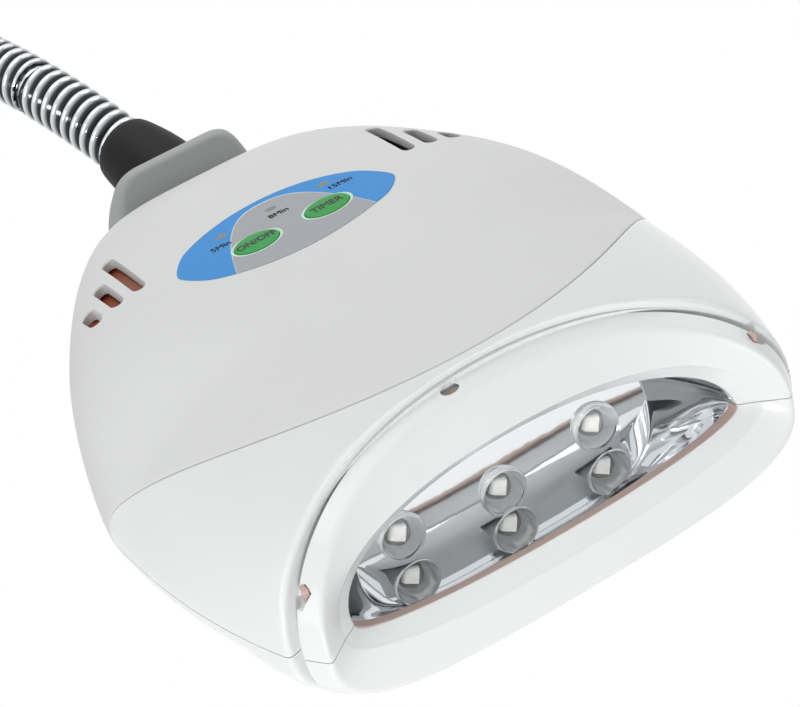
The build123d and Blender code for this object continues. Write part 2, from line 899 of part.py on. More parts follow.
label_zone = (label_low_place - label_zone_margin, label_top_place + label_zone_margin)
label_bed_solid = body_solid(1, label_thickness - label_proud + label_bed, *label_zone)
control_label = label_prism(0) & body_solid(1, -label_proud, *label_zone)
control_label -= body_solid(1, label_thickness - label_proud, *label_zone)
for cut in panel_cuts(button_gap):
    control_label -= cut

# Neck block, tube, pin and screws behind the head
lean = math.radians(block_face_lean)
block_face = Plane(origin=(0, block_face_y, block_face_z), x_dir=(1, 0, 0),
                   z_dir=(0, math.cos(lean), math.sin(lean)))
rise, drift = math.radians(neck_rise), math.radians(neck_drift)
arm_side = Vector(math.cos(drift), math.sin(drift), 0)


def arm_direction(angle):
    """Direction of the arm's centre line in its upright plane."""
    level = math.cos(angle)
    return Vector(-math.sin(drift) * level, math.cos(drift) * level, math.sin(angle))


neck_start = Vector(0, block_face_y, block_face_z)
neck_way = arm_direction(rise)
boot_end = neck_start + neck_way * boot_length


def neck_cylinder(radius, start, end):
    """Cylinder along the neck's axis, measured from the block's rear face."""
    return cylinder_between(radius, neck_start + neck_way * start, neck_start + neck_way * end)


def block_front_face():
    """Front view of the neck block: upright sides that draw in to a rounded top."""
    points = [(-block_half_width, block_under), (block_half_width, block_under),
              (block_half_width, block_face_z), (block_top_half_width, block_top),
              (-block_top_half_width, block_top), (-block_half_width, block_face_z)]
    corners = [Vector(x, block_front, z) for x, z in points]
    face = Face(Wire.make_polygon(corners, close=True))
    tops = [vertex for vertex in face.vertices() if abs(vertex.Z - block_top) < fit_tolerance]
    return face.fillet_2d(block_corner, tops)


def beyond(plane, gap):
    """Large box on the far side of a plane."""
    corner = plane.origin + plane.z_dir * gap - (plane.x_dir + plane.y_dir) * (body_length / 2)
    return Solid.make_box(body_length, body_length, body_length, Plane(corner, plane.x_dir, plane.z_dir))


def around_body(side):
    """The body's half with a fit around it, at its rear."""
    return body_solid(side, -block_fit, body_length - block_half_width, body_length + block_fit)


cross_start = neck_start - neck_way * neck_pin_depth
cross_pin_ends = [cross_start + Vector(side * neck_pin_half_length, 0, 0) for side in mirror]
wall_inside = body_length - wall
neck_screw_places = [side * neck_screw_x for side in mirror]
block_reach = block_depth + block_top
neck_block = Solid.extrude(block_front_face(), Vector(0, block_reach, 0)) - beyond(block_face, 0)
neck_block -= [around_body(side) for side in mirror]
neck_block -= [neck_cylinder(neck_tube_radius + neck_tube_fit, -neck_tube_inside, neck_tube_reach),
               neck_cylinder(neck_wire_radius, -neck_tube_inside - neck_wire_reach, 0)]
neck_block -= cylinder_between(neck_pin_radius + neck_tube_fit, *cross_pin_ends)
neck_screw_end = body_length + neck_screw_reach
neck_block -= [backward(screw_radius + thread_fit, x, neck_screw_z, wall_inside, neck_screw_end + overrun)
               for x in neck_screw_places]
neck_pin = cylinder_between(neck_pin_radius, *cross_pin_ends)
neck_tube = neck_cylinder(neck_tube_radius, -neck_tube_inside, neck_tube_reach)
neck_tube -= neck_cylinder(neck_tube_bore, -neck_tube_inside - overrun, neck_tube_reach + overrun)
neck_tube -= cylinder_between(neck_pin_radius + neck_tube_fit, *cross_pin_ends)
neck_screws = [screw(screw_radius, screw_head_radius, screw_head_height, (x, wall_inside, neck_screw_z),
                     (x, neck_screw_end, neck_screw_z)) for x in neck_screw_places]

# Boot over the start of the arm: it bulges, then draws in to the ribs
boot_axis = Plane(origin=neck_start, x_dir=arm_side, z_dir=neck_way)
boot_shares = (0.0, boot_shoulder_share, boot_waist_share, 1.0)
boot_radii = (boot_root_radius, boot_shoulder_radius, boot_waist_radius, boot_end_radius)
boot_points = [(radius, 0, share * boot_length) for radius, share in zip(boot_radii, boot_shares)]
boot_curve = Edge.make_spline(boot_points)
boot_corners = [(boot_end_radius, 0, boot_length), (0, 0, boot_length), (0, 0, -boot_root_depth),
                (boot_root_radius, 0, -boot_root_depth), (boot_root_radius, 0, 0)]
boot_lines = [line_between(one, two) for one, two in zip(boot_corners, boot_corners[1:])]
boot_form = Solid.revolve(Face(Wire([boot_curve] + boot_lines)), ring_turn, Axis.Z)
neck_boot = boot_form.moved(boot_axis.location) & beyond(block_face, 0)
neck_boot -= neck_cylinder(neck_tube_radius + neck_tube_fit,
                           -boot_root_depth - overrun, boot_length + overrun)

# Bendable arm: ribbed segments whose rounded noses turn in one another's bores
segment_length = rib_count * rib_pitch
upper_length = upper_segments * segment_length
lower_length = lower_segments * segment_length
upper_turn = upper_length / upper_bend_radius
lower_bend_radius = lower_length / (rise - upper_turn + math.pi / 2)
arm_length = upper_length + lower_length
heading = arm_direction(0)
up = Vector(0, 0, 1)


def arm_plane(place):
    """Cross-section plane at a place along the arm, measured from the boot."""
    start, angle, radius = boot_end, rise, upper_bend_radius
    if place > upper_length:
        start, angle, radius = arm_plane(upper_length).origin, rise - upper_turn, lower_bend_radius
        place -= upper_length
    turned = angle - place / radius
    reach = heading * (math.sin(angle) - math.sin(turned)) + up * (math.cos(turned) - math.cos(angle))
    return Plane(origin=start + reach * radius, x_dir=arm_side, z_dir=arm_direction(turned))


def arm_loft(places_and_radii):
    """Ruled loft through circles across the arm."""
    circles = [Wire.make_circle(radius, arm_plane(place)) for place, radius in places_and_radii]
    return Solid.make_loft(circles, True)


def arm_segment(number):
    """Ribbed length with its bore; all but the highest end in a plug with a rounded nose."""
    order = upper_segments + lower_segments - number
    start = order * segment_length + (joint_gap / 2 if order else 0)
    end = (order + 1) * segment_length - (joint_gap / 2 if number > 1 else 0)
    pitch = (end - start) / rib_count
    rings = [(start + pitch * (rib + share), radius) for rib in range(rib_count)
             for share, radius in zip(rib_place_shares, rib_radii)]
    outer = arm_loft(rings + [(end, arm_groove_radius)])
    if order:
        junction = arm_plane(order * segment_length)
        outer = outer.fuse(Solid.make_sphere(nose_radius, junction, -base_turn, base_turn))
        hollow_start = start + plug_length
    else:
        hollow_start = start
    step = (end - hollow_start) / bore_steps
    hollow = arm_loft([(hollow_start + step * ring, arm_bore_radius) for ring in range(bore_steps + 1)])
    outer -= hollow
    if order:
        ends = [start - joint_gap / 2 - nose_radius - overrun, hollow_start + overrun]
        way = arm_plane(start).z_dir
        ends = [junction.origin + way * (place - order * segment_length) for place in ends]
        outer -= cylinder_between(nose_bore_radius, *ends)
    return outer


# Lower end: ferrule, lock nut and spigot, plumb under the arm's end
arm_end = arm_plane(arm_length).origin
ferrule_top = arm_end.Z + ferrule_socket
ferrule_low = ferrule_top - ferrule_height
nut_low = ferrule_low - lock_nut_height
shoulder_low = nut_low - spigot_shoulder_height
stud_top = nut_low + spigot_stud_reach
pin_low = shoulder_low - spigot_length


def plumb(radius, low, high):
    """Upright cylinder under the arm's end."""
    return upright(radius, arm_end.X, arm_end.Y, low, high)


def chamfered(solid, length, z):
    """Chamfer the round edges at one height."""
    edges = [edge for edge in solid.edges() if abs(edge.center().Z - z) < fit_tolerance]
    return solid.chamfer(length, None, edges)


ferrule = chamfered(plumb(ferrule_radius, ferrule_low, ferrule_top), ferrule_edge, ferrule_top)
ferrule_middle = (ferrule_low + ferrule_top) / 2
for place in (ferrule_middle - ferrule_groove_width, ferrule_middle + ferrule_groove_width):
    band = plumb(ferrule_radius + overrun, place - ferrule_groove_width / 2, place + ferrule_groove_width / 2)
    ferrule -= band - plumb(ferrule_radius - ferrule_groove_depth, place - ferrule_groove_width,
                            place + ferrule_groove_width)
ferrule -= plumb(arm_radius + ferrule_socket_gap, arm_end.Z, ferrule_top + overrun)
ferrule -= plumb(spigot_stud_radius + stud_gap, ferrule_low - overrun, arm_end.Z + overrun)
nut_angles = [2 * math.pi * corner / nut_sides for corner in range(nut_sides)]
nut_corner_radius = lock_nut_width / 2 / math.cos(math.pi / nut_sides)
nut_face = Face(Wire.make_polygon([Vector(arm_end.X + nut_corner_radius * math.cos(angle),
                                          arm_end.Y + nut_corner_radius * math.sin(angle), nut_low)
                                   for angle in nut_angles], close=True))
lock_nut = Solid.extrude(nut_face, Vector(0, 0, lock_nut_height))
lock_nut -= plumb(spigot_stud_radius + stud_gap, nut_low - overrun, ferrule_low + overrun)
shoulder = plumb(spigot_shoulder_radius, shoulder_low, nut_low)
shoulder = chamfered(shoulder, spigot_shoulder_chamfer, shoulder_low)
pin = chamfered(plumb(spigot_radius, pin_low, shoulder_low), spigot_chamfer, pin_low)
groove_top = shoulder_low - spigot_groove_place
groove_low = groove_top - spigot_groove_width
pin -= (plumb(spigot_radius + overrun, groove_low, groove_top)
        - plumb(spigot_radius - spigot_groove_depth, groove_low - overrun, groove_top + overrun))
spigot = fused([shoulder, pin, plumb(spigot_stud_radius, shoulder_low, stud_top)])
spigot -= plumb(wire_bore_radius, pin_low - overrun, stud_top + overrun)

# Housing
front_shell = lipped_shell(1, shell_seam_place, shell_seam_place, short_shares, False)
front_shell = fused([front_shell] + [upper_boss(x, y) for x, y in front_places])
front_shell -= [boss_pilot(x, y) for x, y in front_places]
hood_hole_top = lip_top + (rim_top - lip_top) * hood_hole_share
front_shell -= upright(hood_hole_radius, hood_hole_x, hood_hole_y, hood_hole_top - hood_hole_depth, above)

bottom_shell = lipped_shell(-1, flat_at(body_length), flat_at(wall_inside), long_shares, True)
cradle_front = (board_rear + sink_rear) / 2
cradle_rear, cradle_top = cradle_front + cradle_length, -sink_depth - cradle_gap
cradles = [box_between((side * cradle_x - cradle_thickness / 2, cradle_front, below),
                       (side * cradle_x + cradle_thickness / 2, cradle_rear, cradle_top)) & trim_lower
           for side in mirror]
bottom_shell = fused([bottom_shell] + [lower_boss(x, y) for x, y in front_places + cover_places] + cradles)
bottom_shell -= [hole for x, y in front_places + cover_places for hole in lower_boss_holes(x, y)]


def slot_cut(x, length):
    """Round-ended cooling slot through the cover."""
    radius = slot_width / 2
    front, rear = slot_front + radius, slot_front + length - radius
    middle = box_between((x - radius, front, control_board_top), (x + radius, rear, above))
    return fused([middle] + [upright(radius, x, y, control_board_top, above) for y in (front, rear)])


top_cover = fused([cover_shell()] + [upper_boss(x, y) for x, y in cover_places]
                  + [post(x, y, control_board_top) for x, y in control_posts]
                  + [post(x, y, driver_board_top) for x, y in driver_posts])
top_cover -= [boss_pilot(x, y) for x, y in cover_places]
top_cover -= [post_pilot(x, y, control_board_top) for x, y in control_posts]
top_cover -= [post_pilot(x, y, driver_board_top) for x, y in driver_posts]
top_cover -= label_prism(label_margin) - label_bed_solid
top_cover -= panel_cuts(button_gap)
top_cover -= [slot_cut(side * (slot_first_x + slot_pitch * place), length)
              for place, length in enumerate(slot_lengths) for side in mirror]
top_cover -= [backward(screw_hole_radius, x, neck_screw_z, wall_inside - overrun, body_length + overrun)
              for x in neck_screw_places]
top_cover -= neck_cylinder(neck_wire_radius, -neck_tube_inside - neck_wire_reach, 0)

# Every piece under its name; several copies of one fastener share a file
pieces = {
    "front_shell": front_shell,
    "bottom_shell": bottom_shell,
    "top_cover": top_cover,
    "shell_screws": shell_screws,
    "reflector": reflector,
    "led_board": led_board,
    "heat_sink": heat_sink,
    "lamp_screws": lamp_screws,
    "control_board": control_board,
    "driver_board": driver_board,
    "circuit_screws": circuit_screws,
    "driver_coils": driver_coils,
    "buzzer": buzzer,
    "power_switch": key_switch(-button_x),
    "timer_switch": key_switch(button_x),
    "power_button": key(-button_x),
    "timer_button": key(button_x),
    "control_label": control_label,
    "neck_block": neck_block,
    "neck_tube": neck_tube,
    "neck_pin": neck_pin,
    "neck_screws": neck_screws,
    "neck_boot": neck_boot,
    "base_ferrule": ferrule,
    "spigot_lock_nut": lock_nut,
    "stand_spigot": spigot,
}
for number, (x, z) in enumerate(cup_places, start=1):
    pieces[f"led_emitter_{number}"] = emitter(x, z)
    pieces[f"led_lens_{number}"] = lens(x, z)
for number, (x, y) in enumerate(light_places, start=1):
    pieces[f"indicator_light_{number}"] = indicator_light(x, y)
for number in range(1, upper_segments + lower_segments + 1):
    pieces[f"hose_segment_{number}"] = arm_segment(number)

to_spigot = Location((-arm_end.X, -arm_end.Y, -shoulder_low))
for name, piece in pieces.items():
    solids = piece if isinstance(piece, list) else piece.solids()
    moved = [solid.moved(to_spigot) for solid in solids]
    export_step(moved[0] if len(moved) == 1 else Compound(moved), f"parts/{name}.step")
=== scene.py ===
# %% [markdown]
# # A teeth whitening lamp
# The lamp is a wide, hollow head with a D-shaped window in front. Behind the window a bright folded
# reflector holds six diodes in round cups. The head is carried by a bendable steel arm, and a printed
# label on its back holds two keys and three small lights. The measured model is loaded first, and every
# new surface is worked out near the solid it stands for. Sizes are in millimetres: x to the right, y to
# the rear and z up, from the front middle of the lower shell.

# %% Load the measured model
import json
import math
import bpy
import bmesh
import numpy as np
from mathutils import Matrix, Vector
from mathutils.kdtree import KDTree


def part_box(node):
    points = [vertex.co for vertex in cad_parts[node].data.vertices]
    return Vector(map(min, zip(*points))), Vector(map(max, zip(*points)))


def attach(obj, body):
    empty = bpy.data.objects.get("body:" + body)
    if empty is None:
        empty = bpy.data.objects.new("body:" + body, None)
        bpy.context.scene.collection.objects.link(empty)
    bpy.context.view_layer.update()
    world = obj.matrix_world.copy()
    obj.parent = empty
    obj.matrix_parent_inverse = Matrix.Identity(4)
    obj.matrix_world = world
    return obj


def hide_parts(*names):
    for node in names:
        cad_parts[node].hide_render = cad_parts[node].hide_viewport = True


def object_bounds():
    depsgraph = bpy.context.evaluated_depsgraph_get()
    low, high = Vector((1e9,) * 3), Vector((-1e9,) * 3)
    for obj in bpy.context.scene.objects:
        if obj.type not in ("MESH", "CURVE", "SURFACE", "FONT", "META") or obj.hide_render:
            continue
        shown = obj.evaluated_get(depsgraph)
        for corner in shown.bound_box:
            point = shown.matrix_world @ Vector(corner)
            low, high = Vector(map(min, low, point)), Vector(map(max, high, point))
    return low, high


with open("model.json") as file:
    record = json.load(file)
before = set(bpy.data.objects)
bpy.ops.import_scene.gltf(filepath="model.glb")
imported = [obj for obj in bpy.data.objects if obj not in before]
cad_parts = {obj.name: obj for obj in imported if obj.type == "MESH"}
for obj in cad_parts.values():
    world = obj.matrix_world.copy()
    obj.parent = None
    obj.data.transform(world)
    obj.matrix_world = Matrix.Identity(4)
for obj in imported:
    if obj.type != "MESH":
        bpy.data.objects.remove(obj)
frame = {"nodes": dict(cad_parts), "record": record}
cad_low, cad_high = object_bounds()
MM = 0.001
low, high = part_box("bottom_shell")
HEAD = np.array([(low.x + high.x) / 2, low.y, high.z])
print("head frame starts at", (HEAD / MM).round(2), "mm;", len(frame["nodes"]), "solids")

# %% [markdown]
# ## From arrays to meshes
# Most pieces are grids: rows of points, where neighbours in the array are neighbours on the surface.
# One helper turns such a grid into a mesh. It can close the grid into a ring or a tube, and it caps or
# merges its ends, so that each piece becomes a closed skin whose faces look outwards.

# %% A grid of points becomes a piece
def grid_faces(rows, columns, wrap_rows, wrap_columns):
    """Quads between neighbouring rows and columns, as an index array."""
    row = np.arange(rows if wrap_rows else rows - 1)
    column = np.arange(columns if wrap_columns else columns - 1)
    row, column = np.meshgrid(row, column, indexing="ij")
    here = row * columns
    there = (row + 1) % rows * columns
    beside = (column + 1) % columns
    corners = [here + column, here + beside, there + beside, there + column]
    return np.stack(corners, axis=-1).reshape(-1, 4)


def tidy_mesh(mesh, merge=1e-6):
    """Merge doubled points and turn all faces outwards."""
    work = bmesh.new()
    work.from_mesh(mesh)
    bmesh.ops.remove_doubles(work, verts=work.verts, dist=merge)
    bmesh.ops.dissolve_degenerate(work, dist=merge / 10, edges=work.edges)
    bmesh.ops.recalc_face_normals(work, faces=work.faces)
    work.to_mesh(mesh)
    work.free()


def added(name, data):
    """A new object in the scene that shows this data."""
    thing = bpy.data.objects.new(name, data)
    bpy.context.scene.collection.objects.link(thing)
    return thing


def mesh_from(name, points, faces):
    """A mesh from points in head millimetres."""
    mesh = bpy.data.meshes.new(name)
    mesh.from_pydata((points.reshape(-1, 3) * MM + HEAD).tolist(), [], faces)
    return mesh


def grid_piece(name, grid, wrap_rows=False, wrap_columns=False, cap_columns=False, cap_rows=False,
               body="head", smooth=35):
    """A piece on a body from a grid of shape (rows, columns, 3), smooth except at edges sharper than
    smooth degrees; capped ends get one flat face each."""
    rows, columns = grid.shape[:2]
    faces = grid_faces(rows, columns, wrap_rows, wrap_columns).tolist()
    index = np.arange(rows * columns).reshape(rows, columns)
    if cap_columns:
        faces += [index[::-1, 0].tolist(), index[:, -1].tolist()]
    if cap_rows:
        faces += [index[0].tolist(), index[-1, ::-1].tolist()]
    mesh = mesh_from(name, grid, faces)
    tidy_mesh(mesh)
    thing = added(name, mesh)
    mesh.shade_smooth()
    mesh.set_sharp_from_angle(angle=math.radians(smooth))
    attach(thing, body)
    print(name, len(mesh.vertices), "points")
    return thing


def stack_piece(name, grid, **options):
    """A piece from a stack of closed outlines, with a flat face at either end."""
    return grid_piece(name, grid, wrap_columns=True, cap_rows=True, **options)


# %% [markdown]
# ## The outline that everything follows
# The lip, the window, the reflector and the body's sections are all D shapes: flat and wide, with round
# corners. A superellipse gives this family with one number: power 2 is an ellipse and larger powers are
# squarer. The upper and lower halves have their own height and power, and meet at the parting plane.

# %% D-shaped outlines
def dee(angles, width, height, power):
    """x and z of |x/width|^power + |z/height|^power = 1 in the direction of each angle."""
    across, up = np.cos(angles), np.sin(angles)
    radius = (np.abs(across) ** power + np.abs(up) ** power) ** (-1 / power)
    return width * radius * across, height * radius * up


def outline(angles, width, top, depth, setback, top_power, low_power, lean=0.0, low_lean=None, curl=0.0):
    """Points of a D outline; it leans back by lean*z, and its upper half also curls back by curl*z*z."""
    upper = np.sin(angles) >= 0
    x, z = dee(angles, width, np.where(upper, top, depth), np.where(upper, top_power, low_power))
    slope = np.where(upper, lean, lean if low_lean is None else low_lean)
    return np.stack([x, setback + slope * z + np.where(upper, curl, 0) * z * z, z], axis=-1)


# %% [markdown]
# ## The body's section
# The body's half width, its height above the parting plane and its depth below it are three formulas of
# the setback y. Each swells behind the nose and falls to nothing past the rear wall, and the section gets
# squarer above and rounder below on the way back.

# %% Body formulas
NOSE_Y = 8.7
WIDE_Y = 78.0
REAR_Y = 192.0
NOSE_HALF_WIDTH = 68.5
BODY_HALF_WIDTH = 79.5
WIDTH_SWELL_POWER = 2.2
TAPER_END_Y = 207.9
TAPER_POWERS = (1.47, 0.716)
CROWN_HEIGHT = 36.9
CROWN_SLOPE_SHARE = 0.03
CROWN_FALL = (130.0, 205.7)
BELLY_DEPTHS = (21.5, 28.5)
BELLY_SWELL = (NOSE_Y, 30.0)
BELLY_FALL = (120.0, 208.0)
FALL_POWERS = (3.37, 1.25)
TOP_POWERS = (2.05, 3.9)
TOP_POWER_SPAN = (70.0, 127.0)
LOW_POWERS = (2.9, 1.95)


def eased(y, span, values):
    """From the first value to the second over a span of y, with level ends: 3t^2 - 2t^3."""
    t = np.clip((y - span[0]) / (span[1] - span[0]), 0, 1)
    return values[0] + (values[1] - values[0]) * (t * t * (3 - 2 * t))


def fall(y, start, end):
    """Share of height left at y, from 1 at the start to 0 at the end."""
    along = np.clip((y - start) / (end - start), 0, 1)
    return (1 - along ** FALL_POWERS[0]) ** FALL_POWERS[1]


def half_width(y):
    """Half the body's width: it swells up to the widest place, then draws in to the neck."""
    ahead = np.clip(WIDE_Y - y, 0, None) / (WIDE_Y - NOSE_Y)
    front = NOSE_HALF_WIDTH + (BODY_HALF_WIDTH - NOSE_HALF_WIDTH) * (1 - ahead ** WIDTH_SWELL_POWER)
    along = np.clip((y - WIDE_Y) / (TAPER_END_Y - WIDE_Y), 0, 1)
    return np.where(y < WIDE_Y, front, BODY_HALF_WIDTH * (1 - along ** TAPER_POWERS[0]) ** TAPER_POWERS[1])


def crown(y):
    """Height of the body's middle above the parting plane."""
    return (CROWN_HEIGHT - CROWN_SLOPE_SHARE * (y - NOSE_Y)) * fall(y, *CROWN_FALL)


def belly(y):
    """Depth of the body's middle below the parting plane."""
    return eased(y, BELLY_SWELL, BELLY_DEPTHS) * fall(y, *BELLY_FALL)


def top_power(y):
    """Power of the section's upper half."""
    return eased(y, TOP_POWER_SPAN, TOP_POWERS)


def body_section(angles, y, inset):
    """The body's section at y, drawn in by inset; positive angles give the upper half."""
    upper = np.sin(angles) >= 0
    height = np.where(upper, crown(y), belly(y)) - inset
    power = np.where(upper, top_power(y), eased(y, BELLY_SWELL, LOW_POWERS))
    x, z = dee(angles, half_width(y) - inset, height, power)
    return np.stack([x, y, z], axis=-1)


def on_skin(angles, inset, place, rounds=60):
    """Points of the skin whose setback follows place(x, z), found by repeating y = place(x(y), z(y))."""
    y = np.full_like(angles, WIDE_Y)
    for _ in range(rounds):
        points = body_section(angles, y, inset)
        y = (y + place(points[..., 0], points[..., 2])) / 2
    return body_section(angles, y, inset)


def top_height(x, y):
    """Height of the upper skin above a place in plan: crown*(1 - |x/w|^p)^(1/p)."""
    power = top_power(y)
    share = np.clip(np.abs(x) / half_width(y), 0, 1)
    return crown(y) * (1 - share ** power) ** (1 / power)


print("body is", 2 * BODY_HALF_WIDTH, "mm wide and", CROWN_HEIGHT + BELLY_DEPTHS[1], "mm high at most")

# %% [markdown]
# ## Moulded corners
# Moulded plastic has no knife edges. Each ring of a shell's profile gets a corner radius, and the corner
# is replaced by a short curve that leaves one flank and joins the other without a kink. All rings are
# rounded at once, because they are rows of one array.

# %% Round the corners of a profile
def rounded(rings, radii, steps=5, most_share=0.48, tiny=1e-9):
    """Replace ring B by the curve (1-t)^2 P + 2t(1-t) B + t^2 Q, where P and Q lie a radius from B
    towards the rings before and after it, or at most this share of the way."""
    rings = [np.asarray(ring, float) for ring in rings]
    made = []
    for number, (ring, radius) in enumerate(zip(rings, radii)):
        if radius <= 0:
            made.append(ring[None])
            continue
        ends = []
        for other in (rings[number - 1], rings[(number + 1) % len(rings)]):
            flank = other - ring
            length = np.maximum(np.linalg.norm(flank, axis=-1, keepdims=True), tiny)
            ends.append(ring + flank * np.minimum(radius / length, most_share))
        t = np.linspace(0, 1, steps)[:, None, None]
        made.append((1 - t) ** 2 * ends[0] + 2 * t * (1 - t) * ring + t ** 2 * ends[1])
    return np.concatenate(made)


# %% Rows of skin and the curves that bound them
SHELL_WALL = 2.4
INNER_REAR_Y = REAR_Y - SHELL_WALL
FRONT_EDGE_CURL = 0.012
FRONT_EDGE_WALL = 2.0
SEAM_Y = 27.5
SEAM_CURVE = 0.00845
SEAM_GAP = 0.4


def rows_between(angles, inset, first, last, shares):
    """Rows of skin at shares of the way between two places."""
    return [on_skin(angles, inset, lambda x, z, s=s: first(x, z) * (1 - s) + last(x, z) * s) for s in shares]


def front_edge(x, z):
    """The body's front edge curls back towards its top."""
    return NOSE_Y + FRONT_EDGE_CURL * np.clip(z, 0, None) ** 2


def inner_edge(x, z):
    """Where the skin's inner side begins."""
    return front_edge(x, z) + FRONT_EDGE_WALL


def seam(x, z):
    """The curve where the matte cover meets the glossy front."""
    return SEAM_Y + SEAM_CURVE * x * x


def shell_seam(x, z):
    """The front moulding stops a hair before the cover."""
    return seam(x, z) - SEAM_GAP


def at(y):
    """A place that is the same everywhere."""
    return lambda x, z: y + 0 * x


# %% [markdown]
# ## Front shell with window lip
# The window lip, the groove behind it and the glossy front of the body are one moulding. Its profile runs
# from the seam forward over the body, down into the groove, round the lip, over the window's edge and
# back inside. This closed profile is carried along the D outline, and it stops at the parting plane.

# %% Profile rings of the lip
STEM_ROOT_Y = 10.3
STEM_WALL = 2.3
LIP_REAR_Y = 6.3
LIP_OVERHANG = 3.0
FACE_SHARES = (0.25, 0.35, 0.45, 0.55, 0.65)
WINDOW_HALF_WIDTH = 52.3
WINDOW_TOP = 16.6
SILL_DEPTH = 4.4
WINDOW_DEPTH = 9.3
WINDOW_FORM = dict(top_power=2.1, low_power=2.1, lean=0.68)
DEEP_FORM = dict(WINDOW_FORM, low_lean=-0.17)
SILL_Y = 7.8
WINDOW_REAR_Y = 10.4
INSIDE_Y = 13.1
# sizes: half width, top and depth
STEM_SIZES = np.array([63.5, 30.2, 18.0])
FACE_SIZES = (62.4, 29.6, 19.0)
STEM_FORM = dict(top_power=2.21, low_power=3.2, curl=0.0186)
FACE_FORM = dict(top_power=2.41, low_power=3.2, curl=0.0241)
# each row: half width, top, depth, setback, powers of the two halves, and lean
STEP_ROWS = [(56.4, 20.9, 8.6, 4.9, 2.2, 2.3, 0.48), (56.0, 20.5, 8.2, 5.3, 2.2, 2.3, 0.49)]
ROOT_RADIUS = 0.8
STEM_RADIUS = 0.9
OVERHANG_RADIUS = 1.0
FACE_RADIUS = 1.5
STEP_RADIUS = 0.5
SILL_RADIUS = 0.7
WINDOW_REAR_RADIUS = 0.3


def stem_ring(angles, growth, setback):
    """D outline of the stem that carries the lip, widened by growth."""
    return outline(angles, *(STEM_SIZES + growth), setback, **STEM_FORM)


def lip_rings(angles):
    """Rings of the lip from the groove's root to the inside, each with its corner radius."""
    edge = stem_ring(angles, LIP_OVERHANG, LIP_REAR_Y)
    front = outline(angles, *FACE_SIZES, 0.0, **FACE_FORM)
    return [
        (stem_ring(angles, 0.0, STEM_ROOT_Y), ROOT_RADIUS),
        (stem_ring(angles, 0.0, LIP_REAR_Y), STEM_RADIUS),
        (edge, OVERHANG_RADIUS),
        *[(edge * (1 - share) + front * share, 0.0) for share in FACE_SHARES],
        (front, FACE_RADIUS),
        *[(outline(angles, *row[:-1], lean=row[-1]), STEP_RADIUS) for row in STEP_ROWS],
        (outline(angles, WINDOW_HALF_WIDTH, WINDOW_TOP, SILL_DEPTH, SILL_Y, **WINDOW_FORM), SILL_RADIUS),
        (outline(angles, WINDOW_HALF_WIDTH, WINDOW_TOP, WINDOW_DEPTH, WINDOW_REAR_Y, **DEEP_FORM),
         WINDOW_REAR_RADIUS),
        (stem_ring(angles, -STEM_WALL, INSIDE_Y), 0.0),
    ]


# %% Front and bottom shells
PARTING_GAP = 0.11
END_ANGLE = 0.0015
SEAM_RADIUS = 0.45
NOSE_RADIUS = 1.7
REAR_RADIUS = 1.2
FIRST_ROW_SHARE = 0.12


def half_angles(side, count=181):
    """Angles of one half, from the right-hand end to the left-hand end, a hair off the parting plane."""
    return side * np.linspace(END_ANGLE, math.pi - END_ANGLE, count)


def parted(grid, side):
    """Keep every point a hair off the parting plane."""
    grid[..., 2] = side * np.maximum(side * grid[..., 2], PARTING_GAP)
    return grid


def closed_behind(rings):
    """Add the middle of the rear wall: its outer side before the rings, its inner side after them."""
    outer, inner = np.zeros_like(rings[0]), np.zeros_like(rings[0])
    outer[:, 1] = REAR_Y
    inner[:, 1] = INNER_REAR_Y
    return [outer] + rings + [inner]


def shell_grid(side, end_place, inner_end_place, closed):
    """Closed profile of a lipped shell: outer skin, lip, inner skin, and a rear wall where closed. The
    short shell's first row stays clear of its rounded front edge."""
    angles = half_angles(side)
    if closed:
        shares = np.linspace(0, 1, 70)
    else:
        shares = np.concatenate([[0.0], np.linspace(FIRST_ROW_SHARE, 1, 35)])
    outer = rows_between(angles, 0, front_edge, end_place, shares[::-1])
    inner = rows_between(angles, SHELL_WALL, inner_edge, inner_end_place, np.linspace(0, 1, 14))
    lip = lip_rings(angles)
    rings = outer + [ring for ring, _ in lip] + inner
    radii = [SEAM_RADIUS] + [0.0] * (len(outer) - 2) + [NOSE_RADIUS]
    radii += [radius for _, radius in lip] + [0.0] * len(inner)
    if closed:
        rings = closed_behind(rings)
        radii = [0.0, REAR_RADIUS] + radii[1:] + [0.0]
    return parted(rounded(rings, radii), side)


front_grid = shell_grid(1, shell_seam, shell_seam, False)
front_shell = grid_piece("front_moulding", front_grid, wrap_rows=True, cap_columns=True)
bottom_grid = shell_grid(-1, at(REAR_Y), at(INNER_REAR_Y), True)
bottom_shell = grid_piece("bottom_moulding", bottom_grid, wrap_rows=True, cap_columns=True)
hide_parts("front_shell")
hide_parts("bottom_shell")

# %% [markdown]
# ## Rear cover
# The matte cover is a shallow shell. Its front edge follows the seam curve, where both mouldings are
# rounded so that a fine shadow line shows. Its rear wall closes the head behind the neck.

# %% Cover skin
COVER_EDGE_RADIUS = 0.55


def cover_grid():
    """Closed profile of the cover, from the middle of its rear wall over the skin to the seam and back."""
    angles = half_angles(1, 221)
    outer = rows_between(angles, 0, at(REAR_Y), seam, np.linspace(0, 1, 90))
    inner = rows_between(angles, SHELL_WALL, seam, at(INNER_REAR_Y), np.linspace(0, 1, 20))
    rings = closed_behind(outer + inner)
    radii = [0.0] * len(rings)
    radii[1] = REAR_RADIUS
    radii[len(outer)] = COVER_EDGE_RADIUS
    return parted(rounded(rings, radii), 1)


cover = grid_piece("rear_cover", cover_grid(), wrap_rows=True, cap_columns=True)
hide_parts("top_cover")

# %% [markdown]
# ## Holes and notches
# Six cooling slots, two key holes and three light holes go through the cover. Each cutter is a stack of
# outlines that widens near the skin, so that the cut leaves a small moulded chamfer round its mouth. The
# front moulding has a small oval hole in its hood and a notch at either end of its lip, with a floor a
# little below the skin in each.

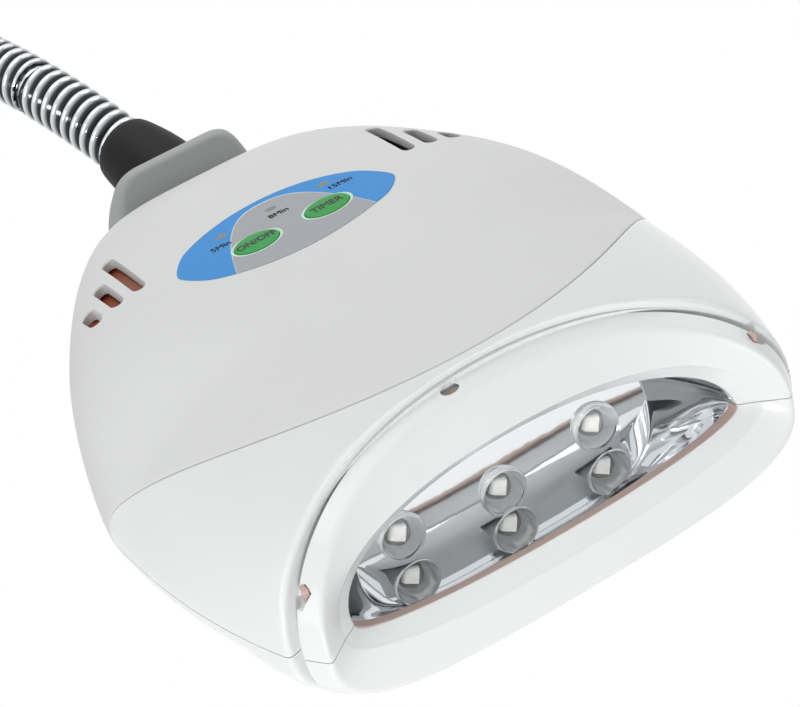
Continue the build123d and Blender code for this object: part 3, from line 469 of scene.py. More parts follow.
# %% Cutters that follow the skin
SIDES = (1, -1)


def oval(middle, half, growth=0.0, count=64):
    """Ellipse in plan, widened by growth."""
    t = np.linspace(0, 2 * math.pi, count, endpoint=False)
    return np.array(middle) + (np.array(half) + growth) * np.stack([np.cos(t), np.sin(t)], axis=-1)


def capsule(x, first, last, radius, count=16):
    """Two half circles joined by straight flanks, in plan."""
    t = np.linspace(0, math.pi, count)
    rear = np.stack([x + radius * np.cos(t), last - radius + radius * np.sin(t)], axis=-1)
    front = np.stack([x - radius * np.cos(t), first + radius - radius * np.sin(t)], axis=-1)
    return np.concatenate([rear, front])


def drawn_in(plan, middle, amount):
    """Outline in plan moved towards a middle by amount, along the direction to each point."""
    way = plan - middle
    return plan - way / np.linalg.norm(way, axis=-1, keepdims=True) * amount


def cutter(plan, chamfer, depth=9.0, overlap=0.15, above=2.0):
    """Grid of levels: straight below the skin, widening by chamfer where it passes the skin."""
    mouth = chamfer + overlap
    rows = []
    for height, growth in ((-depth, 0.0), (-chamfer, 0.0), (overlap, mouth), (above, mouth)):
        wide = drawn_in(plan, plan.mean(0), -growth)
        rows.append(np.column_stack([wide, top_height(plan[:, 0], plan[:, 1]) + height]))
    return np.stack(rows)


def cut(piece, grids, crossing=False):
    """Boolean difference with all cutters at once, applied to the mesh."""
    cutters = [stack_piece("cutter", grid) for grid in grids]
    first = cutters[0]
    bpy.context.view_layer.update()
    with bpy.context.temp_override(active_object=first, selected_editable_objects=cutters):
        bpy.ops.object.join()
    modifier = piece.modifiers.new("cut", "BOOLEAN")
    modifier.operation = "DIFFERENCE"
    modifier.object = first
    modifier.solver = "EXACT"
    modifier.use_self = crossing
    modifier.use_hole_tolerant = crossing
    bpy.context.view_layer.update()
    depsgraph = bpy.context.evaluated_depsgraph_get()
    mesh = bpy.data.meshes.new_from_object(piece.evaluated_get(depsgraph))
    piece.modifiers.clear()
    piece.data = mesh
    bpy.data.objects.remove(first)
    mesh.set_sharp_from_angle(angle=math.radians(35))
    print(piece.name, "after its cuts:", len(mesh.vertices), "points")


def level_prism(plan, low_z, high_z):
    """Upright prism over an outline in plan."""
    return np.stack([np.column_stack([plan, np.full(len(plan), z)]) for z in (low_z, high_z)])


def side_boxes(middle, half):
    """Boxes on both sides, from the right-hand one's middle and half sizes."""
    corners = np.array([(-1, -1), (1, -1), (1, 1), (-1, 1)]) * half[:2]
    return [level_prism(corners + (side * middle[0], middle[1]), middle[2] - half[2], middle[2] + half[2])
            for side in SIDES]


# %% Hood hole and notches of the front moulding
HOOD_HOLE = dict(middle=(-8.5, 24.3), half=(2.4, 1.15), count=48)
HOOD_CUT_ZS = (28.4, 33.0)
HOOD_FLOOR_ZS = (29.6, 30.3)
HOOD_FLOOR_PLAY = 0.1
NOTCH_Z = 13.3
NOTCH = dict(middle=(61.4, 8.3, NOTCH_Z), half=(1.9, 1.25, 2.2))
NOTCH_FLOOR = dict(middle=(60.4, 8.7, NOTCH_Z), half=(0.5, 1.15, 2.1))

notches = side_boxes(**NOTCH)
cut(front_shell, [level_prism(oval(**HOOD_HOLE), *HOOD_CUT_ZS)] + notches, crossing=True)
notch_floors = [stack_piece(f"notch_floor_{n}", box)
                for n, box in enumerate(side_boxes(**NOTCH_FLOOR), start=1)]
hood_floor = level_prism(oval(**HOOD_HOLE, growth=-HOOD_FLOOR_PLAY), *HOOD_FLOOR_ZS)
notch_floors.append(stack_piece("hood_hole_floor", hood_floor))

# %% Ledge behind the window
LEDGE_Y = 8.0
LEDGE_LENGTH = 2.6
LEDGE_THICKNESS = 0.5
LEDGE_END_ANGLE = 0.02
# each row: inset from the window's side, drop below its sill, and setback
LEDGE_ROWS = [(0.3, 0.1, LEDGE_Y), (0.7, 0.5, LEDGE_Y + LEDGE_LENGTH)]


def ledge_grid(count=121):
    """Thin shelf behind the window's lower edge."""
    angles = -np.linspace(LEDGE_END_ANGLE, math.pi - LEDGE_END_ANGLE, count)
    rows = []
    for inset, drop, setback in LEDGE_ROWS:
        rows.append(outline(angles, WINDOW_HALF_WIDTH - inset, WINDOW_TOP, SILL_DEPTH + drop, setback,
                            **WINDOW_FORM))
    front, rear = rows
    below = np.array([0.0, 0.0, -LEDGE_THICKNESS])
    return np.stack([front, rear, rear + below, front + below])


# The shelf's brownish-pink tone is painted shade and reflection of the sill's edge behind the window.
ledge = grid_piece("window_ledge", ledge_grid(), wrap_rows=True, cap_columns=True)

# %% Board below the left-hand slots
SLOT_BOARD_DROP = 3.9
SLOT_BOARD_THICKNESS = 1.2
SLOT_BOARD_CORNERS = [(-54.5, 121.0), (-37.0, 121.0), (-37.0, 149.0), (-43.0, 149.0), (-54.5, 136.0)]
SLOT_BOARD_MIDDLE = (-46.0, 133.0)
LEAN_STEP = 4.0


def board_below_slots():
    """A flat plate that leans with the cover, on the cover's left."""
    corners = np.array(SLOT_BOARD_CORNERS)
    middle = np.array(SLOT_BOARD_MIDDLE)
    lean = []
    for step in ((LEAN_STEP, 0.0), (0.0, LEAN_STEP)):
        rise = top_height(*(middle + step)) - top_height(*(middle - step))
        lean.append(float(rise) / (2 * sum(step)))
    z = float(top_height(*middle)) - SLOT_BOARD_DROP + (corners - middle) @ np.array(lean)
    top = np.column_stack([corners, z])
    return np.stack([top - (0, 0, SLOT_BOARD_THICKNESS), top])


slot_board = stack_piece("board_below_slots", board_below_slots())

# %% Slots, key holes and light holes of the cover
SLOT_X = 39.9
SLOT_PITCH = 6.6
SLOT_FRONT_Y = 124.2
SLOT_REAR_YS = (147.5, 139.0, 133.0)
SLOT_RADIUS = 1.85
SLOT_CHAMFER = 0.4
KEY_X, KEY_Y = 10.3, 115.4
KEY_HALF = (6.2, 4.2)
KEY_PLAY = 0.3
LIGHTS = [(-15.0, 126.3), (0.0, 127.3), (15.0, 126.3)]
LIGHT_HALF = (1.8, 1.2)
LIGHT_PLAY = 0.2
HOLE_CHAMFER = 0.05

slots = [capsule(side * (SLOT_X + SLOT_PITCH * n), SLOT_FRONT_Y, rear_y, SLOT_RADIUS)
         for n, rear_y in enumerate(SLOT_REAR_YS) for side in SIDES]
holes = [oval((side * KEY_X, KEY_Y), KEY_HALF, KEY_PLAY) for side in SIDES]
holes += [oval(light, LIGHT_HALF, LIGHT_PLAY) for light in LIGHTS]
cut(cover, [cutter(plan, SLOT_CHAMFER) for plan in slots] + [cutter(plan, HOLE_CHAMFER) for plan in holes])

# %% [markdown]
# ## Label, keys and lights
# The label is a printed film in the shape of a lens, stuck on the cover. Its two green ovals are keys that
# sink half a millimetre, and three grey ovals are the windows of small lights. All lie on the skin's
# height, so they follow its gentle fall.

# %% Label film
LABEL_HALF_WIDTH = 30.6
LABEL_MIDDLE_X = -1.0
LABEL_END_LENGTH = 7.0
LABEL_END_POWER = 2.3
LABEL_SLANT = 0.06
REAR_ARC_Y, REAR_ARC_RADIUS = 93.5, 41.1
FRONT_ARC_Y, FRONT_ARC_RADIUS = 153.0, 51.0
FILM_LIFT = 0.15
FILM_THICKNESS = 0.33
FILM_PLAY = 0.15


def lens_plan(u):
    """Middle and half height of the label at u: between an arc behind and a flatter one in front,
    slightly aslant, with round ends."""
    rear = REAR_ARC_Y + np.sqrt(REAR_ARC_RADIUS ** 2 - u ** 2)
    front = FRONT_ARC_Y - np.sqrt(FRONT_ARC_RADIUS ** 2 - u ** 2)
    past = np.clip((np.abs(u) - LABEL_HALF_WIDTH + LABEL_END_LENGTH) / LABEL_END_LENGTH, 0, 1)
    middle = (rear + front) / 2 - LABEL_SLANT * u * (u / LABEL_HALF_WIDTH) ** 2
    return middle, (rear - front) / 2 * np.sqrt(1 - past ** LABEL_END_POWER)


def film_grid(columns=161, rows=41):
    """Closed film: its upper face, rounded edge and lower face, over x and the share across."""
    u = LABEL_HALF_WIDTH * np.sin(np.linspace(-math.pi / 2, math.pi / 2, columns))
    middle, half = lens_plan(u)
    across = np.concatenate([np.linspace(-1, 1, rows), [1.0], np.linspace(1, -1, rows), [-1.0]])
    edge = [FILM_LIFT - FILM_THICKNESS / 2]
    height = np.concatenate([np.full(rows, FILM_LIFT), edge, np.full(rows, FILM_LIFT - FILM_THICKNESS), edge])
    y = middle[:, None] + half[:, None] * across
    x = np.repeat(u[:, None] + LABEL_MIDDLE_X, len(across), axis=1)
    return np.stack([x, y, top_height(x, y) + height], axis=-1)


label = grid_piece("label_film", film_grid(), wrap_columns=True)
cut(label, [cutter(oval((side * KEY_X, KEY_Y), KEY_HALF, FILM_PLAY), 0.0) for side in SIDES])
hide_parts("control_label")

# %% Keys and small lights
KEY_TOP = 0.45
KEY_DOME = 0.18
OVAL_ROWS = 12
OVAL_INNER_SHARE = 0.93
OVAL_RIM_SHARES = (0.97, 0.99, 1.0, 1.0)
OVAL_RIM_DROPS = (0.03, 0.1, 0.22)


def domed_oval(middle, half, top, dome, foot):
    """A low dome over an oval: height top + dome*(1 - r^2), its rim rounded, with walls down to foot."""
    t = np.linspace(0, 2 * math.pi, 64, endpoint=False)
    r = np.concatenate([np.linspace(0, OVAL_INNER_SHARE, OVAL_ROWS), OVAL_RIM_SHARES])[:, None]
    drop = np.concatenate([np.zeros(OVAL_ROWS), OVAL_RIM_DROPS, [foot]])[:, None]
    x = middle[0] + half[0] * r * np.cos(t)
    y = middle[1] + half[1] * r * np.sin(t)
    z = top_height(*np.array(middle)) + top + dome * (1 - r ** 2) - drop + 0 * x
    return np.stack([x, y, z], axis=-1)


keys = {}
for name, x, body in (("power", -KEY_X, "power_key"), ("timer", KEY_X, "timer_key")):
    key_grid = domed_oval((x, KEY_Y), KEY_HALF, KEY_TOP, KEY_DOME, foot=3.0)
    keys[name] = stack_piece(f"{name}_key_cap", key_grid, body=body)
    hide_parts(f"{name}_button")
light_windows = []
for n, light in enumerate(LIGHTS, start=1):
    window = stack_piece(f"light_window_{n}", domed_oval(light, LIGHT_HALF, top=0.13, dome=0.1, foot=4.0))
    light_windows.append(window)
    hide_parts(f"indicator_light_{n}")

# %% [markdown]
# ## Printed words
# The legends are plain words printed on the film and the keys: each is set as flat type, made a mesh,
# moved to its place in plan, and laid on the height of the surface that carries it.

# %% Words on the keys and the film
CAPITAL_SHARE = 0.7
KEY_INK_LIFT = 0.03
FILM_INK_LIFT = 0.02
KEY_TYPE = dict(height=2.3, stroke=0.11)
FILM_TYPE = dict(height=1.9, stroke=0.09, squeeze=1.05)
MINUTES = {5: (-17.5, 121.8), 8: (0.3, 123.6), 15: (18.1, 122.9)}


def printed(name, words, middle, body, lift, height, stroke, squeeze=1.0, copies=8):
    """Flat type about a middle, laid a little above the surface; copies a hair apart thicken its strokes."""
    curve = bpy.data.curves.new(name, "FONT")
    curve.body = words
    curve.align_x = "CENTER"
    curve.align_y = "CENTER"
    curve.resolution_u = 4
    flat = added(name, curve)
    bpy.context.view_layer.update()
    made = bpy.data.meshes.new_from_object(flat.evaluated_get(bpy.context.evaluated_depsgraph_get()))
    bpy.data.objects.remove(flat)
    points = np.array([vertex.co[:2] for vertex in made.vertices]) * height / CAPITAL_SHARE * (squeeze, 1.0)
    turn = np.linspace(0, 2 * math.pi, copies, endpoint=False)
    shifts = stroke * np.column_stack([np.cos(turn), np.sin(turn)])
    plan = np.concatenate([points + shift for shift in shifts]) + middle
    faces = [[corner + copy * len(points) for corner in face.vertices]
             for copy in range(copies) for face in made.polygons]
    z = top_height(plan[:, 0], plan[:, 1]) + lift(plan[:, 0], plan[:, 1])
    word = added(name, mesh_from(name, np.column_stack([plan, z]), faces))
    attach(word, body)
    return word


def on_key(x):
    """Lift above the skin of the dome of the key at x."""
    centre = top_height(np.array(x), np.array(KEY_Y))

    def lift(px, py):
        """Lift of the key's dome at a place in plan."""
        away = ((px - x) / KEY_HALF[0]) ** 2 + ((py - KEY_Y) / KEY_HALF[1]) ** 2
        return centre - top_height(px, py) + KEY_TOP + KEY_INK_LIFT + KEY_DOME * (1 - away)

    return lift


def on_film(px, py):
    """Lift of the film above the skin."""
    return FILM_LIFT + FILM_INK_LIFT + 0 * px


words = [
    printed("word_on_off", "ON/OFF", (-KEY_X, KEY_Y), "power_key", on_key(-KEY_X), squeeze=0.93, **KEY_TYPE),
    printed("word_timer", "TIMER", (KEY_X, KEY_Y), "timer_key", on_key(KEY_X), **KEY_TYPE),
]
for minutes, middle in MINUTES.items():
    words.append(printed(f"word_{minutes}", f"{minutes}Min", middle, "head", on_film, **FILM_TYPE))
print(len(words), "printed words")

# %% [markdown]
# ## Folded reflector
# The reflector is one bright tray. Its rim follows the window, and its back is folded along a curved line
# between the two rows of cups, from which both bands lean back. The grid runs from the fold out to the
# rim, over a wall's thickness, and back.

# %% Tray with its fold
FOLD_Z = -12.1
FOLD_RISE = 8.3
FOLD_RISE_X = 40.0
FOLD_POWER = 4.4
FOLD_WIDTH_SHARE = 0.93
PLATE_Y = 29.8
UPPER_LEAN = 0.24
LOWER_LEAN = -0.10
PLATE_HALF_WIDTH = 41.0
PLATE_TOP = 8.5
PLATE_DEPTH = 23.4
PLATE_POWER = 4.0
RIM_PLAY = 0.2
RIM_Y = 10.8
PLATE_EDGE_RADIUS = 1.6
RIM_RADIUS = 0.3
FLANK_BOW = 2.2
BOW_REACH_X = 70.0
BOW_REACH_Z = 20.0
BOW_DROP_SHARE = 0.35
LEAST_DROP_SHARE = -0.6
TRAY_WALL = 1.0
PLATE_WALL_SHARE = 0.7
FOLD_WALL_SHARE = 0.9
RIM_WALL_SHARE = 0.35


def fold_height(x):
    """Height of the fold: level in the middle, rising towards the ends."""
    return FOLD_Z + FOLD_RISE * (np.abs(x) / FOLD_RISE_X) ** FOLD_POWER


def plate_setback(x, z):
    """Setback of the plate: the fold is its nearest line, and both bands lean back from it."""
    above = z - fold_height(x)
    return PLATE_Y + np.where(above > 0, UPPER_LEAN, LOWER_LEAN) * above


def tray_rings(angles, wall):
    """Rings from the fold to the rim; with a wall they lie behind and outside."""
    back = outline(angles, PLATE_HALF_WIDTH + wall, PLATE_TOP + wall, PLATE_DEPTH + wall, 0.0,
                   PLATE_POWER, PLATE_POWER)
    back[:, 1] = plate_setback(back[:, 0], back[:, 2]) + PLATE_WALL_SHARE * wall
    growth = RIM_PLAY + wall
    rim = outline(angles, WINDOW_HALF_WIDTH + growth, WINDOW_TOP + growth, WINDOW_DEPTH + growth,
                  RIM_Y + RIM_WALL_SHARE * wall, **DEEP_FORM)
    fold = back.copy()
    fold[:, 0] *= FOLD_WIDTH_SHARE
    fold[:, 2] = fold_height(fold[:, 0])
    fold[:, 1] = plate_setback(fold[:, 0], fold[:, 2]) + FOLD_WALL_SHARE * wall
    shares = np.linspace(0, 1, 9)
    plate = [fold * (1 - share) + back * share for share in shares[:-1]]
    flank = []
    for share in shares:
        ring = back * (1 - share) + rim * share
        bow = FLANK_BOW * math.sin(math.pi * share)
        ring[:, 0] *= 1 + bow / BOW_REACH_X
        ring[:, 2] -= bow * BOW_DROP_SHARE * np.clip(-ring[:, 2] / BOW_REACH_Z, LEAST_DROP_SHARE, 1)
        flank.append(ring)
    return plate, flank


def tray_grid():
    """Closed tray: front side out to the rim, then the rear side back to the fold."""
    angles = np.linspace(0, 2 * math.pi, 320, endpoint=False)
    plate, flank = tray_rings(angles, 0.0)
    rear_plate, rear_flank = tray_rings(angles, TRAY_WALL)
    rings = plate + flank + rear_flank[::-1] + rear_plate[::-1]
    radii = [0.0] * len(rings)
    radii[len(plate)] = PLATE_EDGE_RADIUS
    radii[len(plate) + len(flank) - 1] = RIM_RADIUS
    return rounded(rings, radii)


tray = grid_piece("reflector_tray", tray_grid(), wrap_columns=True, smooth=14)

# %% Cups, domes and chips
CUPS = [(-27.2, -3.6), (0.0, -6.4), (27.2, -3.6), (-27.2, -16.4), (0.0, -17.4), (27.2, -16.4)]
CUP_BORE = [(20.0, 5.4), (37.0, 5.4)]
CUP_FLOOR_Y = 34.2
CUP_REAR_Y = 36.3
LOWER_CUP_SINK = 0.2
DOME_RADIUS = 3.05
DOME_MIDDLE_Y = 33.6
CHIP_RADIUS = 1.95
CHIP_TURN = math.radians(20.0)
CHIP_YS = (33.3, 34.1)


def turned(middle, profile, count=72):
    """Surface of revolution about the y direction: every profile here is rows of (setback, radius)."""
    profile = np.asarray(profile, float)
    t = np.linspace(0, 2 * math.pi, count, endpoint=False)
    x = middle[0] + profile[:, 1:] * np.cos(t)
    z = middle[1] + profile[:, 1:] * np.sin(t)
    return np.stack([x, np.repeat(profile[:, :1], count, axis=1), z], axis=-1)


# the rim's setbacks count from the plate, because each rim lies on it
cup_rim = [(0.1, 6.15), (-0.6, 6.1), (-1.0, 5.85), (-0.95, 5.6), (-0.5, 5.45)]
cup_bowl = [(31.5, 5.15), (33.0, 4.6), (34.0, 3.9), (CUP_FLOOR_Y, 3.6), (CUP_FLOOR_Y, 0.0),
            (CUP_REAR_Y, 0.0), (CUP_REAR_Y, 4.6), (31.5, 6.0)]
dome_turn = np.linspace(0, math.pi / 2, 20)
dome_arc = np.column_stack([DOME_MIDDLE_Y - DOME_RADIUS * np.cos(dome_turn), DOME_RADIUS * np.sin(dome_turn)])
dome_foot = [(34.1, DOME_RADIUS), (34.15, 3.4), (CUP_FLOOR_Y, 3.4), (CUP_FLOOR_Y, 0.0)]
dome_profile = np.concatenate([dome_arc, dome_foot])
chip_angles = CHIP_TURN + np.arange(4) * math.pi / 2
chip_corners = CHIP_RADIUS * np.column_stack([np.cos(chip_angles), np.sin(chip_angles)])

cut(tray, [turned(middle, CUP_BORE) for middle in CUPS])
cups, domes, chips = [], [], []
for n, middle in enumerate(CUPS, start=1):
    upper = middle[1] > fold_height(middle[0])
    seat = plate_setback(*middle) + (0.0 if upper else LOWER_CUP_SINK)
    cup_profile = [(seat + place, radius) for place, radius in cup_rim] + cup_bowl
    cups.append(grid_piece(f"cup_{n}", turned(middle, cup_profile), wrap_rows=True, wrap_columns=True,
                           smooth=40))
    domes.append(grid_piece(f"dome_{n}", turned(middle, dome_profile), wrap_columns=True, smooth=40))
    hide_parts(f"led_lens_{n}")
    chip_grid = np.stack([np.insert(chip_corners + middle, 1, y, axis=1) for y in CHIP_YS])
    chips.append(stack_piece(f"chip_{n}", chip_grid))
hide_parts("reflector")

# %% [markdown]
# ## Neck block and metal fittings
# The metal fittings are already right in the measured model, but their edges are sharp. Copies of them
# get merged points and a small bevel. The neck block is built anew as a stack of rings, because its edges
# are rounder.

# %% Bevelled copies of plain solids
def softened(node, body, width, angle=30, merge=2e-6, flat=2.0):
    """Copy a solid's mesh, merge it, and bevel its sharp edges."""
    mesh = frame["nodes"][node].data.copy()
    mesh.name = f"{node}_soft"
    work = bmesh.new()
    work.from_mesh(mesh)
    bmesh.ops.remove_doubles(work, verts=work.verts, dist=merge)
    bmesh.ops.dissolve_limit(work, angle_limit=math.radians(flat), verts=work.verts, edges=work.edges)
    work.to_mesh(mesh)
    work.free()
    thing = added(f"{node}_soft", mesh)
    mesh.shade_smooth()
    bevel = thing.modifiers.new("edge", "BEVEL")
    bevel.width = width * MM
    bevel.segments = 3
    bevel.limit_method = "ANGLE"
    bevel.angle_limit = math.radians(angle)
    bevel.harden_normals = True
    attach(thing, body)
    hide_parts(node)
    return thing


# %% Neck block
NECK_Y = 200.0
NECK_Z = 12.4
BLOCK_FRONT_Y = 189.0
BLOCK_LEAN = math.radians(26.0)
BLOCK_EDGE = 1.8
BLOCK_CORNERS = [(22.0, -10.0), (22.0, NECK_Z), (16.6, 26.9)]
BLOCK_RADII = [2.0, 8.0, 6.0]
BLOCK_MIDDLE = (0.0, 9.0)


def block_outline(inset, count=12):
    """Front view of the block: slanted sides and rounded corners, drawn in by inset."""
    corners = np.array(BLOCK_CORNERS + [(-x, z) for x, z in BLOCK_CORNERS[::-1]])
    points = rounded(corners[:, None], BLOCK_RADII + BLOCK_RADII[::-1], steps=count, most_share=1.0)
    return drawn_in(points[:, 0], BLOCK_MIDDLE, inset)


def block_grid():
    """Rings from the block's front over its sides to its leaning rear face, both edges rounded."""
    rings = []
    turn = np.linspace(0, math.pi / 2, 7)
    for way, angles in ((1, turn), (-1, turn[::-1])):
        for angle in angles:
            x, z = block_outline(BLOCK_EDGE * (1 - math.sin(angle))).T
            face = BLOCK_FRONT_Y + 0 * z if way == 1 else NECK_Y - (z - NECK_Z) * math.tan(BLOCK_LEAN)
            rings.append(np.column_stack([x, face + way * BLOCK_EDGE * (1 - math.cos(angle)), z]))
    return np.stack(rings)


block = stack_piece("rounded_block", block_grid(), smooth=60)
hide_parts("neck_block")
ferrule = softened("base_ferrule", "stand_end", width=0.4)
lock_nut = softened("spigot_lock_nut", "stand_end", width=0.5)
spigot = softened("stand_spigot", "stand_end", width=0.3)

# %% [markdown]
# ## Boot and arm
# The boot is a surface of revolution about the neck. The arm is one wound strip, cut into seven segments:
# a tube whose radius rises and falls along a helix. A ball fills each gap between two segments, so that
# the arm stays closed when it bends.

# %% Boot over the arm's start
NECK_START = np.array([0.0, NECK_Y, NECK_Z])
RISE = math.radians(22.0)
DRIFT = math.radians(14.0)
SIDEWAYS = np.array([math.cos(DRIFT), math.sin(DRIFT), 0.0])
BOOT_ROOT = -3.2
BOOT_BORE = 6.0
BOOT_LENGTH = 21.0


def arm_way(angle):
    """Direction of the arm's middle line at an angle above level."""
    level = np.cos(angle)
    return np.stack([-math.sin(DRIFT) * level, math.cos(DRIFT) * level, np.sin(angle)], axis=-1)


def around_arm(t, angle):
    """Directions at the angles t about the middle line, from its sideways axis towards its upper side."""
    return np.cos(t)[..., None] * SIDEWAYS + np.sin(t)[..., None] * np.cross(SIDEWAYS, arm_way(angle))


def boot_grid():
    """Revolve (place, radius) pairs about the neck, from the block to the open end and into its mouth."""
    profile = np.array([(BOOT_ROOT, 11.6), (0, 11.7), (3.5, 11.7), (7.0, 11.6), (10.5, 11.3), (13.5, 10.9),
                        (16.5, 10.4), (18.6, 9.95), (19.8, 9.55), (20.6, 9.0), (20.9, 8.3), (20.8, 7.9),
                        (12.0, BOOT_BORE), (BOOT_ROOT, BOOT_BORE)])
    t = np.linspace(0, 2 * math.pi, 96, endpoint=False)
    place, radius = profile[:, :1, None], profile[:, 1:, None]
    return NECK_START + arm_way(RISE) * place + radius * around_arm(t, RISE)


boot = grid_piece("arm_boot", boot_grid(), wrap_rows=True, wrap_columns=True, smooth=50)
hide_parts("neck_boot")

# %% Wound steel arm
BODIES = ["stand_end", "arm_2", "arm_3", "arm_4", "arm_5", "arm_6", "head"]
SEGMENT = 36.9
UPPER_SEGMENTS = 2
UPPER_LENGTH = UPPER_SEGMENTS * SEGMENT
LOWER_LENGTH = (len(BODIES) - UPPER_SEGMENTS) * SEGMENT
UPPER_BEND = 230.0
UPPER_END_ANGLE = RISE - UPPER_LENGTH / UPPER_BEND
LOWER_BEND = LOWER_LENGTH / (UPPER_END_ANGLE + math.pi / 2)
ARM_START = NECK_START + arm_way(RISE) * BOOT_LENGTH
HINGE_GAP = 0.76
BALL_RADIUS = 7.0
BALL_HALF_LENGTH = 2.2
RIB_PITCH = 4.1
GROOVE_RADIUS = 6.9
GROOVE_SHADE_SHARPNESS = 2.0
RIB_HEIGHT = 1.58
RIB_POWER = 1.1
RIB_END_LENGTH = 0.4


def along_arc(start, angle, radius, run):
    """Place and angle after a run along an arc that bends downwards."""
    end_angle = angle - run / radius
    level = (np.sin(angle) - np.sin(end_angle))[..., None] * arm_way(0.0)
    up = (np.cos(end_angle) - np.cos(angle))[..., None] * np.array([0.0, 0.0, 1.0])
    return start + (level + up) * radius, end_angle


def arm_line(place):
    """Middle line and its angle: two segments on a wide arc, then five on a tighter one, ending plumb."""
    place = np.asarray(place, float)
    upper, upper_angle = along_arc(ARM_START, np.array(RISE), UPPER_BEND, place)
    joint, joint_angle = along_arc(ARM_START, np.array(RISE), UPPER_BEND, np.array(UPPER_LENGTH))
    lower, lower_angle = along_arc(joint, joint_angle, LOWER_BEND, place - UPPER_LENGTH)
    second = place > UPPER_LENGTH
    return np.where(second[..., None], lower, upper), np.where(second, lower_angle, upper_angle)


def wound_grid(first, last, per_turn=16, sides=72):
    """Tube whose rows follow a helix: its radius rises from the groove by sin(pi*u)^1.1 of the rib's
    height at the share u of a turn, and falls to the groove at both ends. Also each point's share of
    painted groove shade, the dark colour that stands for shade in the grooves."""
    rows = int(math.ceil((last - first + RIB_PITCH) / RIB_PITCH * per_turn)) + 1
    t = np.linspace(0, 2 * math.pi, sides + 1)
    turns = np.arange(rows)[:, None] / per_turn
    place = np.clip(first + RIB_PITCH * (turns - t / (2 * math.pi)), first, last)
    swell = np.sin(math.pi * (turns % 1.0)) ** RIB_POWER
    edge = np.clip(np.minimum(place - first, last - place) / RIB_END_LENGTH, 0, 1)
    swell = swell * np.sqrt(1 - (1 - edge) ** 2)
    middle, angle = arm_line(place)
    radius = GROOVE_RADIUS + RIB_HEIGHT * swell
    skin = middle + radius[..., None] * around_arm(t[None], angle)
    return skin, np.clip(GROOVE_SHADE_SHARPNESS * (1 - swell), 0, 1)


def ball_grid(place):
    """Slice of a ball about a place on the arm's middle line."""
    middle, angle = arm_line(np.array(place))
    t = np.linspace(0, 2 * math.pi, 48, endpoint=False)
    lift = np.linspace(-BALL_HALF_LENGTH, BALL_HALF_LENGTH, 5)[:, None, None]
    return middle + lift * arm_way(angle) + np.sqrt(BALL_RADIUS ** 2 - lift ** 2) * around_arm(t, angle)


def store_shade_shares(thing, grid, shares):
    """Store a share of painted groove shade per point, found again by place after doubled points were merged.
    """
    points = grid.reshape(-1, 3) * MM + HEAD
    tree = KDTree(len(points))
    for number, point in enumerate(points):
        tree.insert(point, number)
    tree.balance()
    values = shares.ravel()
    found = [float(values[tree.find(vertex.co)[1]]) for vertex in thing.data.vertices]
    layer = thing.data.attributes.new("groove", "FLOAT", "POINT")
    layer.data.foreach_set("value", found)


segments = []
for number, body in enumerate(BODIES, start=1):
    order = len(BODIES) - number
    first = order * SEGMENT + (HINGE_GAP if order else 0.0)
    last = (order + 1) * SEGMENT - (HINGE_GAP if number > 1 else 0.0)
    grid, groove = wound_grid(first, last)
    segments.append(grid_piece(f"wound_strip_{number}", grid, cap_rows=True, body=body, smooth=60))
    store_shade_shares(segments[-1], grid, groove)
    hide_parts(f"hose_segment_{number}")
for number, body in enumerate(BODIES[:-1], start=1):
    ball = ball_grid((len(BODIES) - number) * SEGMENT)
    segments.append(stack_piece(f"inner_turn_{number}", ball, body=body, smooth=60))

# %% [markdown]
# ## Shader maths in plain expressions
# Materials are made of nodes. Wrapping a socket in a small class lets a pattern be written as a formula:
# each operator adds a Math node behind the scenes, and one method makes every other kind of node.

# %% A small wrapper round sockets
def maths(kind, swap=False):
    """A method that adds one Math node, with its operands swapped where the line stands on the right."""
    def method(line, *others):
        """Add the node and return its output."""
        values = (*others, line) if swap else (line, *others)
        return line.paint.node("ShaderNodeMath", {"operation": kind}, *values)[0]

    return method


class Line:
    """A socket that can be used in sums; colours and vectors go through their own node types."""

    def __init__(self, paint, socket):
        self.paint = paint
        self.socket = socket

    __add__ = maths("ADD")
    __sub__ = maths("SUBTRACT")
    __rsub__ = maths("SUBTRACT", swap=True)
    __mul__ = maths("MULTIPLY")
    __rmul__ = maths("MULTIPLY", swap=True)
    __truediv__ = maths("DIVIDE")
    __pow__ = maths("POWER")
    __lt__ = maths("LESS_THAN")
    __abs__ = maths("ABSOLUTE")


